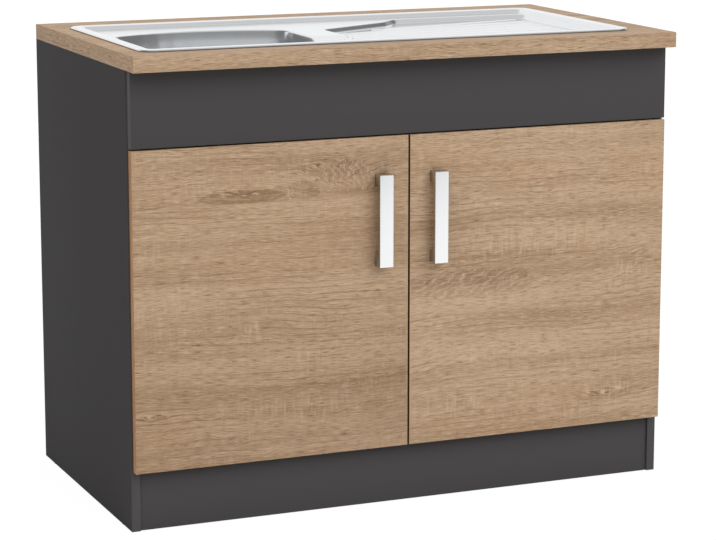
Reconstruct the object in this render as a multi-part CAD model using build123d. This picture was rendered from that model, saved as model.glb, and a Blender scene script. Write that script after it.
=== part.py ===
from build123d import *
import os
from math import atan2, cos, degrees, radians, sin

# Kitchen sink unit: a two-door base unit with a worktop and an inset steel sink.
# Frame: origin on the floor under the middle of the worktop, +X to the user's
# right, +Y to the wall, +Z up. All sizes are in millimetres.

# ---- overall ---------------------------------------------------------------
unit_width = 1050.0
unit_depth = 600.0
unit_height = 850.0
glide_height = 2.0

# ---- boards ----------------------------------------------------------------
board = 16.0
worktop_thickness = 28.0
edging = 1.0
back_board = 3.0
front_overhang = 48.0
plinth_height = 110.0
plinth_recess = 4.0
plinth_clearance = 0.5
front_rail_height = 136.0
front_rail_drop = 22.0
rear_rail_height = 100.0
rear_rail_setback = 16.0
back_groove_depth = 6.0
groove_clearance = 0.2
service_width = 460.0
service_height = 280.0
service_bottom = 330.0
service_offset = -130.0
service_corner = 25.0
wall_screw_spacing = 720.0
wall_screw_radius = 3.0

# ---- fronts ----------------------------------------------------------------
front_reveal = 3.5
front_gap = 3.0
door_standoff = 2.0
door_foot_gap = 1.5
blind_height = 133.0
blind_top_gap = 2.0

# ---- handles ---------------------------------------------------------------
handle_length = 168.0
handle_width = 26.0
handle_projection = 24.0
handle_bar = 8.0
handle_leg = 22.0
handle_from_split = 54.0
handle_below_top = 150.0
handle_screw_radius = 2.0
handle_screw_head_radius = 4.0
handle_screw_head_height = 1.6
handle_edge_radius = 1.2

# ---- concealed hinges ------------------------------------------------------
hinge_from_end = 85.0
cup_radius = 17.5
cup_wall = 0.8
cup_depth = 11.0
cup_edge_distance = 5.0
cup_flange = 1.2
cup_flange_height = 52.0
cup_flange_reach = 17.0
cup_ear_corner = 8.0
cup_screw_spacing = 42.0
cup_screw_head_height = 0.6
cup_pin_half = 9.0
cup_pin_inset = 9.5
cup_pin_depth = 4.5
arm_pin_inset = 36.0
arm_pin_setback = 8.0
pin_radius = 1.2
pin_clearance = 0.05
link_thickness = 2.2
link_width = 7.0
link_eye = 2.3
link_crank = 6.0
link_crank_angle = -31.0
arm_width = 14.0
arm_thickness = 10.0
arm_length = 62.0
arm_side_gap = 0.4
arm_fork_depth = 8.0
plate_setback = 37.0
plate_base = 3.0
plate_base_height = 54.0
plate_base_length = 30.0
plate_block_width = 16.0
plate_screw_spacing = 32.0
hinge_screw_radius = 1.8
hinge_screw_head = 3.5
hinge_screw_length = 12.0

# ---- connectors ------------------------------------------------------------
cam_radius = 7.5
cam_depth = 12.5
cam_inset = 34.0
cam_bolt_radius = 3.0
cam_bolt_bore = 4.0
cam_thread_radius = 2.5
cam_thread_length = 11.0
cam_from_edge = 60.0
rail_cam_share = 0.3
plinth_cam_share = 0.6
dowel_radius = 4.0
dowel_length = 30.0
dowel_in_side = 10.0
dowel_from_edge = 150.0
rail_dowel_share = 0.75
plinth_dowel_share = 0.25
bracket_leg = 25.0
bracket_sheet = 2.0
bracket_width = 20.0
bracket_screw_reach = 16.25
plinth_bracket_share = 0.55
worktop_bracket_from_edge = 110.0
wood_screw_radius = 1.75
wood_screw_head = 3.5
wood_screw_head_height = 2.0
wood_screw_length = 14.0
panel_screw_length = 26.0
panel_screw_share = 0.75

# ---- sink ------------------------------------------------------------------
sink_corner = 28.0
sink_least_corner = 2.0
sink_left_margin = 34.0
sink_right_margin = 61.0
sink_front_margin = 56.0
sink_back_margin = 94.0
sheet = 0.8
bead_width = 24.0
bead_height = 3.0
bead_radius = 2.4
bead_inner_radius = 1.5
deck_drop = 7.0
seal_thickness = 1.0
seal_width = 8.0
seal_inset = 1.0
cutout_inset = 13.0
cutout_corner = 15.0
bowl_length = 340.0
bowl_side_depth = 247.0
bowl_arch = 46.0
bowl_depth = 140.0
bowl_corner = 45.0
bowl_foot_radius = 28.0
bowl_draft = 4.0
bowl_from_left = 38.0
bowl_from_front = 41.0
tray_depth = 9.0
tray_draft = 30.0
tray_corner = 16.0
tray_foot_radius = 3.0
tray_land = 66.0
tray_end_margin = 33.0
tray_front = 34.0
tray_ledge = 61.0
tray_shoulder_run = 283.0
tray_knee_run = 37.0
tray_knee_drop = 39.0
tray_throat_drop = 119.0
channel_width = 90.0
channel_depth = 5.0
channel_from_front = 64.0
rib_count = 9
rib_height = 2.4
rib_width = 7.0
rib_front_gap = 38.0
rib_back_gap = 13.0
rib_throat_reach = 10.0
rib_margin = 22.0
clip_count_long = 4
clip_count_short = 2
clip_width = 22.0
clip_reach = 15.0
clip_screw_reach = 7.5
clip_sheet = 1.5
clip_screw_radius = 2.5
clip_screw_head = 4.5
clip_drop = 12.0
clip_screw_stick_out = 8.0

# ---- waste and trap --------------------------------------------------------
waste_hole_radius = 45.0
waste_flange_radius = 56.0
waste_flange_sheet = 1.5
waste_cup_radius = 41.0
waste_cup_depth = 34.0
gasket_thickness = 2.0
basket_clearance = 1.5
basket_sheet = 1.0
basket_depth = 26.0
basket_hole_radius = 2.5
basket_ring_shares = (0.35, 0.62, 0.86)
basket_ring_counts = (6, 11, 15)
basket_stem_radius = 3.0
basket_stem_height = 20.0
basket_knob_radius = 9.6
basket_knob_height = 6.0
basket_knob_round = 2.0
outlet_radius = 20.0
pipe_wall = 1.9
waste_body_wall = 3.0
waste_body_depth = 22.0
waste_body_gap = 1.5
waste_bar_height = 9.0
waste_bar_half = 7.0
nut_radius = 26.0
nut_height = 18.0
nut_rib_count = 16
nut_rib_radius = 1.5
bottle_radius = 36.0
bottle_height = 110.0
bottle_wall = 3.0
dip_pipe_gap = 30.0
trap_outlet_drop = 26.0
waste_screw_radius = 3.0
waste_screw_length = 14.0
waste_screw_head = 6.0
waste_hole_count = 6
waste_hole_ring = 22.5
waste_drain_hole = 5.0
neck_clearance = 0.4
neck_height = 12.0
cup_lap = 12.0
bottle_drop = 70.0
outlet_end_gap = 2.0
spigot_length = 26.0
outlet_collar_radius = 23.0
outlet_collar_width = 4.0

# ---- glides and buffers ----------------------------------------------------
glide_radius = 7.5
glide_chamfer = 0.8
glide_from_end = 60.0
buffer_radius = 4.0
buffer_inset = 20.0

# ---- derived places --------------------------------------------------------
side_x = unit_width / 2
inner_x = side_x - board
front_y = -unit_depth / 2
edge_y = front_y + front_overhang
back_y = unit_depth / 2
worktop_bottom = unit_height - worktop_thickness
door_back = edge_y - door_standoff
door_front = door_back - board
blind_top = worktop_bottom - blind_top_gap
blind_bottom = blind_top - blind_height
door_bottom = plinth_height + door_foot_gap
door_top = blind_bottom - front_gap
door_outer = side_x - front_reveal
door_inner = front_gap / 2
bottom_top = plinth_height + board
back_face = back_y - rear_rail_setback
rail_top = worktop_bottom - front_rail_drop
rail_bottom = rail_top - front_rail_height
wall_screw_z = worktop_bottom - rear_rail_height / 2
hinge_heights = (door_bottom + hinge_from_end, door_top - hinge_from_end)
cup_x = door_outer - cup_edge_distance - cup_radius
cup_pin_x = door_outer - cup_pin_inset
cup_pin_y = door_back - cup_pin_depth
arm_pin_x = side_x - arm_pin_inset
arm_pin_y = edge_y + arm_pin_setback
sink_length = unit_width - sink_left_margin - sink_right_margin
sink_width = unit_depth - sink_front_margin - sink_back_margin
sink_x0 = -side_x + sink_left_margin
sink_y0 = front_y + sink_front_margin
sink_cx = sink_x0 + sink_length / 2
sink_cy = sink_y0 + sink_width / 2
flange_bottom = unit_height + seal_thickness
bead_top = flange_bottom + bead_height
deck_z = bead_top - deck_drop
bowl_x0 = sink_x0 + bowl_from_left
bowl_y0 = sink_y0 + bowl_from_front
bowl_floor = deck_z - bowl_depth
tray_left = bowl_from_left + bowl_length + tray_land
tray_right = sink_length - tray_end_margin
tray_back = sink_width - tray_ledge
tray_shoulder = tray_right - tray_shoulder_run
tray_knee = (tray_shoulder - tray_knee_run, tray_back - tray_knee_drop)
tray_throat = tray_back - tray_throat_drop
rib_start = tray_front + rib_front_gap
rib_pitch_left = (tray_throat + rib_throat_reach - rib_start) / (rib_count - 1)
rib_pitch_right = (tray_back - rib_back_gap - rib_start) / (rib_count - 1)
drain_x = bowl_x0 + bowl_length / 2
drain_y = bowl_y0 + (bowl_side_depth + bowl_arch) / 2
waste_seat = bowl_floor + gasket_thickness
waste_top = bowl_floor - sheet - gasket_thickness
waste_body_floor = waste_seat - waste_cup_depth - waste_body_depth
tail_top = waste_body_floor - nut_height
bottle_top = tail_top - bottle_drop
bottle_floor = bottle_top - bottle_height
outlet_z = bottle_top - trap_outlet_drop
spigot_end = drain_y + bottle_radius + spigot_length

os.makedirs("parts", exist_ok=True)


def save(name, *pieces):
    """Write one node from one or more separate solids."""
    solids = [solid for piece in pieces for solid in piece.solids()]
    export_step(Compound(children=solids), f"parts/{name}.step")


def block(x0, x1, y0, y1, z0, z1):
    """A box between two corners."""
    place = Pos((x0 + x1) / 2, (y0 + y1) / 2, (z0 + z1) / 2)
    return place * Box(abs(x1 - x0), abs(y1 - y0), abs(z1 - z0))


def rod(start, end, radius):
    """A round bar between two points."""
    a, b = Vector(*start), Vector(*end)
    plane = Plane(origin=a, z_dir=b - a)
    return extrude(plane * Circle(radius), (b - a).length)


def tube(start, end, radius, wall):
    """A straight pipe between two points."""
    return rod(start, end, radius) - rod(start, end, radius - wall)


def slab(outline, z0, z1):
    """An outline in the XY plane made a solid between two heights."""
    return extrude(Pos(0, 0, z0) * outline, z1 - z0)


def sunk(outline, z_top, depth, draft):
    """A pocket cut down from z_top, narrowing by the draft angle."""
    return extrude(Pos(0, 0, z_top) * outline, depth, dir=(0, 0, -1), taper=draft)


def screw(seat, tip, radius, head_radius, head_height):
    """A screw whose head lies outside its seat and whose shank ends at the tip."""
    a, b = Vector(*seat), Vector(*tip)
    out = (a - b).normalized() * head_height
    shank = rod(seat, tip, radius)
    head = rod(seat, tuple(a + out), head_radius)
    return shank + head


# ---- connectors ------------------------------------------------------------
def connector_places():
    """Cam connectors: (y, z, direction to the face that the cam is let into)."""
    bottom_mid = plinth_height + board / 2
    front_mid = edge_y + board / 2
    rear_mid = back_face - board / 2
    plinth_mid = edge_y + plinth_recess + board / 2
    return [
        (edge_y + cam_from_edge, bottom_mid, (0, 0, -1)),
        (back_face - cam_from_edge, bottom_mid, (0, 0, -1)),
        (front_mid, rail_bottom + front_rail_height * rail_cam_share, (0, 1, 0)),
        (rear_mid, worktop_bottom - rear_rail_height * rail_cam_share, (0, -1, 0)),
        (plinth_mid, plinth_height * plinth_cam_share, (0, 1, 0)),
    ]


def dowel_places():
    """Wooden dowels between the boards and the sides: (y, z)."""
    bottom_mid = plinth_height + board / 2
    return [
        (edge_y + dowel_from_edge, bottom_mid),
        (back_face - dowel_from_edge, bottom_mid),
        (edge_y + board / 2, rail_bottom + front_rail_height * rail_dowel_share),
        (back_face - board / 2, worktop_bottom - rear_rail_height * rail_dowel_share),
        (edge_y + plinth_recess + board / 2, plinth_height * plinth_dowel_share),
    ]


def cam_lock(side, y, z, face, clearance=0.0):
    """The zinc cam, a disc let into the board's face."""
    x = side * (inner_x - cam_inset)
    surface = Vector(x, y, z) + Vector(*face) * (board / 2)
    inside = surface - Vector(*face) * cam_depth
    return rod(tuple(inside), tuple(surface), cam_radius + clearance)


def cam_bolt(side, y, z):
    """The bolt that is screwed into the side and caught by the cam."""
    thread = rod((side * inner_x, y, z), (side * (inner_x + cam_thread_length), y, z), cam_thread_radius)
    shank = rod((side * (inner_x - cam_inset), y, z), (side * inner_x, y, z), cam_bolt_radius)
    return thread + shank


def dowel(side, y, z):
    """A dowel, part in the side and part in the board's end."""
    outer = side * (inner_x + dowel_in_side)
    inner = side * (inner_x + dowel_in_side - dowel_length)
    return rod((outer, y, z), (inner, y, z), dowel_radius)


def bore_board(part, y_range, z_range):
    """Drill a board's ends for the connectors and dowels that fall in it."""
    for y, z, face in connector_places():
        if y_range[0] < y < y_range[1] and z_range[0] < z < z_range[1]:
            for side in (-1, 1):
                part -= rod((side * (inner_x - cam_inset), y, z), (side * inner_x, y, z), cam_bolt_bore)
                part -= cam_lock(side, y, z, face)
    for y, z in dowel_places():
        if y_range[0] < y < y_range[1] and z_range[0] < z < z_range[1]:
            for side in (-1, 1):
                part -= dowel(side, y, z)
    return part


def connectors():
    """All cams, bolts and dowels of the carcass."""
    pairs = [(side, *place) for side in (-1, 1) for place in connector_places()]
    cams = [cam_lock(s, y, z, f) - rod((s * (inner_x - cam_inset), y, z), (s * inner_x, y, z), cam_bolt_bore)
            for s, y, z, f in pairs]
    bolts = [cam_bolt(s, y, z) for s, y, z, _ in pairs]
    dowels = [dowel(side, y, z) for side in (-1, 1) for y, z in dowel_places()]
    save("cam_locks", *cams)
    save("cam_bolts", *bolts)
    save("wooden_dowels", *dowels)


# ---- carcass ---------------------------------------------------------------
def side_panel(side):
    """A side that runs to the floor, grooved for the back and drilled for the fittings."""
    panel = block(side * side_x, side * inner_x, edge_y, back_y, glide_height, worktop_bottom)
    groove = back_board + 2 * groove_clearance
    panel -= block(side * inner_x, side * (inner_x + back_groove_depth + groove_clearance),
                   back_face - groove_clearance, back_face - groove_clearance + groove,
                   plinth_height, worktop_bottom)
    for y, z, _ in connector_places():
        panel -= cam_bolt(side, y, z)
    for y, z in dowel_places():
        panel -= dowel(side, y, z)
    for screw_part in plate_screws(side):
        panel -= screw_part
    for bracket_y in worktop_bracket_places():
        panel -= bracket_screws(side, bracket_y)[0]
    return panel


def bottom_panel():
    """The cabinet floor between the sides."""
    panel = block(-inner_x, inner_x, edge_y, back_face, plinth_height, bottom_top)
    panel = bore_board(panel, (edge_y, back_face), (plinth_height, bottom_top))
    for x in plinth_bracket_places():
        panel -= plinth_bracket_screws(x)[0]
    return panel


def front_rail():
    """The upright rail behind the fixed front."""
    rail = block(-inner_x, inner_x, edge_y, edge_y + board, rail_bottom, rail_top)
    rail = bore_board(rail, (edge_y, edge_y + board), (rail_bottom, rail_top))
    for item in blind_screws():
        rail -= item
    return rail


def rear_rail():
    """The upright rail at the wall, with two holes for wall screws."""
    low = worktop_bottom - rear_rail_height
    rail = block(-inner_x, inner_x, back_face - board, back_face, low, worktop_bottom)
    rail = bore_board(rail, (back_face - board, back_face), (low, worktop_bottom))
    for x in (-wall_screw_spacing / 2, wall_screw_spacing / 2):
        rail -= rod((x, back_face - board, wall_screw_z), (x, back_face, wall_screw_z), wall_screw_radius)
    return rail


def plinth_board():
    """The kick board between the sides."""
    y0 = edge_y + plinth_recess
    x = inner_x - plinth_clearance
    plinth = block(-x, x, y0, y0 + board, glide_height, plinth_height)
    plinth = bore_board(plinth, (y0, y0 + board), (glide_height, plinth_height))
    for bracket_x in plinth_bracket_places():
        plinth -= plinth_bracket_screws(bracket_x)[1]
    return plinth


def back_panel():
    """The thin back in the sides' grooves, open behind the bowl for the pipes."""
    x = inner_x + back_groove_depth
    panel = block(-x, x, back_face, back_face + back_board, plinth_height, worktop_bottom)
    window = RectangleRounded(service_width, service_height, service_corner)
    centre = (service_offset, back_face, service_bottom + service_height / 2)
    cutter = Plane(origin=centre, z_dir=(0, 1, 0), x_dir=(1, 0, 0))
    panel -= extrude(cutter * window, back_board)
    for x in (-wall_screw_spacing / 2, wall_screw_spacing / 2):
        panel -= rod((x, back_face, wall_screw_z), (x, back_face + back_board, wall_screw_z),
                     wall_screw_radius)
    return panel


def floor_glides():
    """Nail-on glides under the sides."""
    glides = []
    for side in (-1, 1):
        for y in (edge_y + glide_from_end, back_y - glide_from_end):
            x = side * (side_x - board / 2)
            disc = rod((x, y, 0), (x, y, glide_height), glide_radius)
            glides.append(chamfer(disc.edges().group_by(Axis.Z)[0], glide_chamfer))
    return glides


# ---- brackets --------------------------------------------------------------
def plinth_bracket_places():
    """Where angle brackets hold the plinth."""
    return (-inner_x * plinth_bracket_share, inner_x * plinth_bracket_share)


def plinth_bracket(x):
    """A steel angle between the plinth's back and the cabinet floor."""
    y0 = edge_y + plinth_recess + board
    z1 = plinth_height
    half = bracket_width / 2
    upright = block(x - half, x + half, y0, y0 + bracket_sheet, z1 - bracket_leg, z1)
    flat = block(x - half, x + half, y0, y0 + bracket_leg, z1 - bracket_sheet, z1)
    bracket = upright + flat
    for item in plinth_bracket_screws(x):
        bracket -= item
    return bracket


def plinth_bracket_screws(x):
    """The two screws of a plinth bracket: up into the floor, forward into the plinth."""
    y0 = edge_y + plinth_recess + board
    z1 = plinth_height
    up_y = y0 + bracket_screw_reach
    seat_z = z1 - bracket_sheet
    up = screw((x, up_y, seat_z), (x, up_y, seat_z + wood_screw_length), wood_screw_radius,
               wood_screw_head, wood_screw_head_height)
    fore_z = z1 - bracket_screw_reach
    seat_y = y0 + bracket_sheet
    fore = screw((x, seat_y, fore_z), (x, seat_y - wood_screw_length, fore_z), wood_screw_radius,
                 wood_screw_head, wood_screw_head_height)
    return up, fore


def worktop_bracket_places():
    """Where angle brackets hold the worktop, along Y."""
    return (edge_y + worktop_bracket_from_edge, back_face - worktop_bracket_from_edge)


def worktop_bracket(side, y):
    """A steel angle between a side and the worktop."""
    half = bracket_width / 2
    x0, z1 = inner_x, worktop_bottom
    upright = block(side * x0, side * (x0 - bracket_sheet), y - half, y + half, z1 - bracket_leg, z1)
    flat = block(side * x0, side * (x0 - bracket_leg), y - half, y + half, z1 - bracket_sheet, z1)
    bracket = upright + flat
    for item in bracket_screws(side, y):
        bracket -= item
    return bracket


def bracket_screws(side, y):
    """The two screws of a worktop bracket: out into the side, up into the worktop."""
    z = worktop_bottom - bracket_screw_reach
    seat_x = inner_x - bracket_sheet
    out = screw((side * seat_x, y, z), (side * (seat_x + wood_screw_length), y, z), wood_screw_radius,
                wood_screw_head, wood_screw_head_height)
    x = side * (inner_x - bracket_screw_reach)
    seat_z = worktop_bottom - bracket_sheet
    up = screw((x, y, seat_z), (x, y, seat_z + wood_screw_length), wood_screw_radius,
               wood_screw_head, wood_screw_head_height)
    return out, up


def brackets():
    """All steel angles and their screws."""
    xs = plinth_bracket_places()
    places = [(side, y) for side in (-1, 1) for y in worktop_bracket_places()]
    save("plinth_brackets", *[plinth_bracket(x) for x in xs])
    save("worktop_brackets", *[worktop_bracket(side, y) for side, y in places])
    screws = [item for x in xs for item in plinth_bracket_screws(x)]
    screws += [item for side, y in places for item in bracket_screws(side, y)]
    save("bracket_screws", *screws)


# ---- worktop ---------------------------------------------------------------
def worktop():
    """The worktop board with the cut-out that the sink drops into."""
    top = block(-side_x + edging, side_x - edging, front_y + edging, back_y, worktop_bottom, unit_height)
    hole = RectangleRounded(sink_length - 2 * cutout_inset, sink_width - 2 * cutout_inset, cutout_corner)
    top -= slab(Pos(sink_cx, sink_cy) * hole, worktop_bottom, unit_height)
    for side in (-1, 1):
        for y in worktop_bracket_places():
            top -= bracket_screws(side, y)[1]
    return top


def worktop_edging():
    """The glued edge strips: front, left and right."""
    front = block(-side_x, side_x, front_y, front_y + edging, worktop_bottom, unit_height)
    ends = [block(side * side_x, side * (side_x - edging), front_y + edging, back_y,
                  worktop_bottom, unit_height) for side in (-1, 1)]
    return [front, *ends]


# ---- fronts ----------------------------------------------------------------
def blind_panel():
    """The fixed front above the doors."""
    panel = block(-door_outer, door_outer, edge_y - board, edge_y, blind_bottom, blind_top)
    for item in blind_screws():
        panel -= item
    return panel


def blind_screws():
    """Screws from inside the cabinet through the front rail into the fixed front."""
    z = (blind_bottom + rail_top) / 2
    seat = edge_y + board
    reach = inner_x * panel_screw_share
    return [screw((x, seat, z), (x, seat - panel_screw_length, z), wood_screw_radius, wood_screw_head,
                  wood_screw_head_height) for x in (-reach, 0, reach)]


def door_panel(side):
    """A door board inside its edging, bored for the hinge cups and the handle."""
    x_out, x_in = side * (door_outer - edging), side * (door_inner + edging)
    panel = block(x_out, x_in, door_front, door_back, door_bottom + edging, door_top - edging)
    for z in hinge_heights:
        panel -= rod((side * cup_x, door_back - cup_depth, z), (side * cup_x, door_back, z), cup_radius)
        for item in cup_screws(side, z):
            panel -= item
    for item in handle_screws(side):
        panel -= item
    return panel


def door_edging(side):
    """Four glued edge strips around a door."""
    xo, xi = side * door_outer, side * door_inner
    xo_in, xi_in = side * (door_outer - edging), side * (door_inner + edging)
    return [
        block(xo, xo_in, door_front, door_back, door_bottom, door_top),
        block(xi, xi_in, door_front, door_back, door_bottom, door_top),
        block(xo_in, xi_in, door_front, door_back, door_top - edging, door_top),
        block(xo_in, xi_in, door_front, door_back, door_bottom, door_bottom + edging),
    ]


def handle_x(side):
    """The handle's centre line, measured from the middle of the gap between the doors."""
    return side * handle_from_split


def handle_ends():
    """Heights of the handle's lower and upper ends."""
    middle = door_top - handle_below_top
    return middle - handle_length / 2, middle + handle_length / 2


def handle(side):
    """A flat bar on two legs: a squared U lying on its back."""
    x, half = handle_x(side), handle_width / 2
    low, high = handle_ends()
    tip = door_front - handle_projection
    bar = block(x - half, x + half, tip, tip + handle_bar, low, high)
    for z0, z1 in ((low, low + handle_leg), (high - handle_leg, high)):
        bar += block(x - half, x + half, tip + handle_bar, door_front, z0, z1)
    bar = fillet(bar.edges().filter_by(Axis.X).group_by(Axis.Y)[0], handle_edge_radius)
    for item in handle_screws(side):
        bar -= item
    return bar


def handle_screws(side):
    """Two machine screws from inside the door into the handle's legs."""
    low, high = handle_ends()
    x = handle_x(side)
    tip = door_front - handle_projection + handle_bar / 2
    return [screw((x, door_back, z), (x, tip, z), handle_screw_radius, handle_screw_head_radius,
                  handle_screw_head_height) for z in (low + handle_leg / 2, high - handle_leg / 2)]


def door_buffers(side):
    """Soft buffers inside the door's free corners, meeting the rail and the floor."""
    x = side * (door_inner + buffer_inset)
    heights = (bottom_top - board / 2, (rail_bottom + door_top) / 2)
    return [rod((x, door_back, z), (x, edge_y, z), buffer_radius) for z in heights]


# ---- concealed hinges ------------------------------------------------------
def upright_pin(side, x, y, z, half):
    """A vertical hinge pin."""
    return rod((side * x, y, z - half), (side * x, y, z + half), pin_radius)


def hinge_cup(side, z):
    """The pressed cup in the door with its two-eared flange."""
    x = side * cup_x
    ears = RectangleRounded(2 * cup_flange_reach, cup_flange_height, cup_ear_corner)
    face = Plane(origin=(x, door_back + cup_flange, z), z_dir=(0, -1, 0), x_dir=(1, 0, 0))
    cup = extrude(face * ears, cup_flange)
    cup += rod((x, door_back - cup_depth, z), (x, door_back, z), cup_radius)
    inside = cup_radius - cup_wall
    cup -= rod((x, door_back - cup_depth + cup_wall, z), (x, door_back + cup_flange, z), inside)
    cup -= upright_pin(side, cup_pin_x, cup_pin_y, z, cup_pin_half)
    for item in cup_screws(side, z):
        cup -= item
    return cup


def cup_screws(side, z):
    """The two screws of a cup's ears."""
    x = side * cup_x
    seat = door_back + cup_flange
    return [screw((x, seat, z + dz), (x, seat - hinge_screw_length, z + dz), hinge_screw_radius,
                  hinge_screw_head, cup_screw_head_height)
            for dz in (-cup_screw_spacing / 2, cup_screw_spacing / 2)]


def hinge_link(side, z):
    """The cranked link from the arm's pin into the cup."""
    pin = Vector(cup_pin_x, cup_pin_y)
    turn = radians(link_crank_angle)
    knee = pin + Vector(-cos(turn), sin(turn)) * link_crank
    arm = Vector(arm_pin_x, arm_pin_y)
    flat = Pos(pin.X, pin.Y) * Circle(link_eye) + Pos(arm.X, arm.Y) * Circle(link_eye)
    flat += Pos(knee.X, knee.Y) * Circle(link_thickness / 2)
    for start, end in ((pin, knee), (knee, arm)):
        run = end - start
        middle = (start + end) / 2
        angle = Vector(1, 0).get_signed_angle(run, Vector(0, 0, 1))
        flat += Pos(middle.X, middle.Y) * Rot(0, 0, angle) * Rectangle(run.length, link_thickness)
    for centre in (pin, arm):
        flat -= Pos(centre.X, centre.Y) * Circle(pin_radius + pin_clearance)
    link = slab(flat, z - link_width / 2, z + link_width / 2)
    return link if side > 0 else mirror(link, about=Plane.YZ)


def hinge_arm(side, z):
    """The arm on the side panel, forked at its nose around the link."""
    x0 = arm_pin_x - arm_thickness / 2
    x1 = arm_pin_x + arm_thickness / 2
    y0 = arm_pin_y - arm_thickness / 2
    y1 = arm_pin_y + arm_length
    half = arm_width / 2
    arm = block(side * x0, side * x1, y0, y1, z - half, z + half)
    slot = link_width / 2 + arm_side_gap
    fork_end = arm_pin_y + arm_fork_depth
    arm -= block(side * x0, side * x1, y0, fork_end, z - slot, z + slot)
    arm -= upright_pin(side, arm_pin_x, arm_pin_y, z, half)
    return arm


def mounting_plate(side, z):
    """The plate screwed to the side, with the block that carries the arm."""
    y = edge_y + plate_setback
    half = plate_base_length / 2
    base = block(side * inner_x, side * (inner_x - plate_base), y - half, y + half,
                 z - plate_base_height / 2, z + plate_base_height / 2)
    arm_face = arm_pin_x + arm_thickness / 2
    rise = block(side * (inner_x - plate_base), side * arm_face, y - half, y + half,
                 z - plate_block_width / 2, z + plate_block_width / 2)
    plate = base + rise
    for item in plate_screws_at(side, z):
        plate -= item
    return plate


def plate_screws_at(side, z):
    """The two screws of one mounting plate."""
    seat = inner_x - plate_base
    y = edge_y + plate_setback
    return [screw((side * seat, y, z + dz), (side * (seat + hinge_screw_length), y, z + dz),
                  hinge_screw_radius, hinge_screw_head, wood_screw_head_height)
            for dz in (-plate_screw_spacing / 2, plate_screw_spacing / 2)]


def plate_screws(side):
    """All mounting plate screws of one side."""
    return [item for z in hinge_heights for item in plate_screws_at(side, z)]


def hinges(side, name):
    """Write both hinges of one door, each kind of piece in its own node."""
    save(f"{name}_hinge_plates", *[mounting_plate(side, z) for z in hinge_heights])
    save(f"{name}_hinge_arms", *[hinge_arm(side, z) for z in hinge_heights])
    save(f"{name}_hinge_arm_pins", *[upright_pin(side, arm_pin_x, arm_pin_y, z, arm_width / 2)
                                     for z in hinge_heights])
    save(f"{name}_hinge_links", *[hinge_link(side, z) for z in hinge_heights])
    save(f"{name}_hinge_cups", *[hinge_cup(side, z) for z in hinge_heights])
    save(f"{name}_hinge_cup_pins", *[upright_pin(side, cup_pin_x, cup_pin_y, z, cup_pin_half)
                                     for z in hinge_heights])
    save(f"{name}_hinge_cup_screws", *[item for z in hinge_heights for item in cup_screws(side, z)])


# ---- sink ------------------------------------------------------------------
def flange_outline(inset):
    """The sink's outline, moved in by the inset."""
    corner = max(sink_corner - inset, sink_least_corner)
    rectangle = RectangleRounded(sink_length - 2 * inset, sink_width - 2 * inset, corner)
    return Pos(sink_cx, sink_cy) * rectangle


def bowl_outline():
    """The bowl's mouth: straight sides and front, a back that arches to the wall."""
    x0, x1 = bowl_x0, bowl_x0 + bowl_length
    y0, y1 = bowl_y0, bowl_y0 + bowl_side_depth
    middle = ((x0 + x1) / 2, y1 + bowl_arch)
    edge = Line((x1, y1), (x1, y0)) + Line((x1, y0), (x0, y0)) + Line((x0, y0), (x0, y1))
    edge += ThreePointArc((x0, y1), middle, (x1, y1))
    face = make_face(edge)
    return fillet(face.vertices(), bowl_corner)


def tray_outline():
    """The drainer tray: wide at the right, its back edge bent in to a throat at the bowl."""
    points = [
        (tray_left, tray_front),
        (tray_right, tray_front),
        (tray_right, tray_back),
        (tray_shoulder, tray_back),
        tray_knee,
        (tray_left, tray_throat),
    ]
    places = [(sink_x0 + x, sink_y0 + y) for x, y in points]
    face = make_face(Polyline(*places, close=True))
    return fillet(face.vertices(), tray_corner)


def channel_outline():
    """The short channel that leads from the tray into the bowl."""
    x0 = bowl_x0 + bowl_length - bowl_corner / 2
    x1 = sink_x0 + tray_left + tray_corner
    y = sink_y0 + channel_from_front + channel_width / 2
    return Pos((x0 + x1) / 2, y) * Rectangle(x1 - x0, channel_width)


def basin(outline, depth, draft, foot, grow):
    """A pressed hollow in the deck, grown by the sheet for its outside."""
    mouth = offset(outline, grow) if grow else outline
    hollow = sunk(mouth, deck_z, depth + grow, draft)
    return fillet(hollow.edges().group_by(Axis.Z)[0], foot + grow)


def rib_line(index):
    """A rib's run: the ribs fan out to the right and stop short of the tray's walls."""
    y0 = sink_y0 + rib_start
    start = (sink_x0 + tray_left, y0 + index * rib_pitch_left)
    end = (sink_x0 + tray_right, y0 + index * rib_pitch_right)
    room = offset(tray_outline(), -rib_margin)
    return (Line(start, end) & room).edge()


def rib(index, grow):
    """One pressed rib standing on the tray's floor, or the hollow under it."""
    run = rib_line(index)
    angle = Vector(1, 0).get_signed_angle(run @ 1 - run @ 0, Vector(0, 0, 1))
    middle = run @ 0.5
    place = Pos(middle.X, middle.Y) * Rot(0, 0, angle)
    outline = place * SlotOverall(run.length + 2 * grow, rib_width + 2 * grow)
    floor = deck_z - tray_depth - sheet
    return slab(outline, floor, floor + sheet + rib_height + grow)


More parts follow.
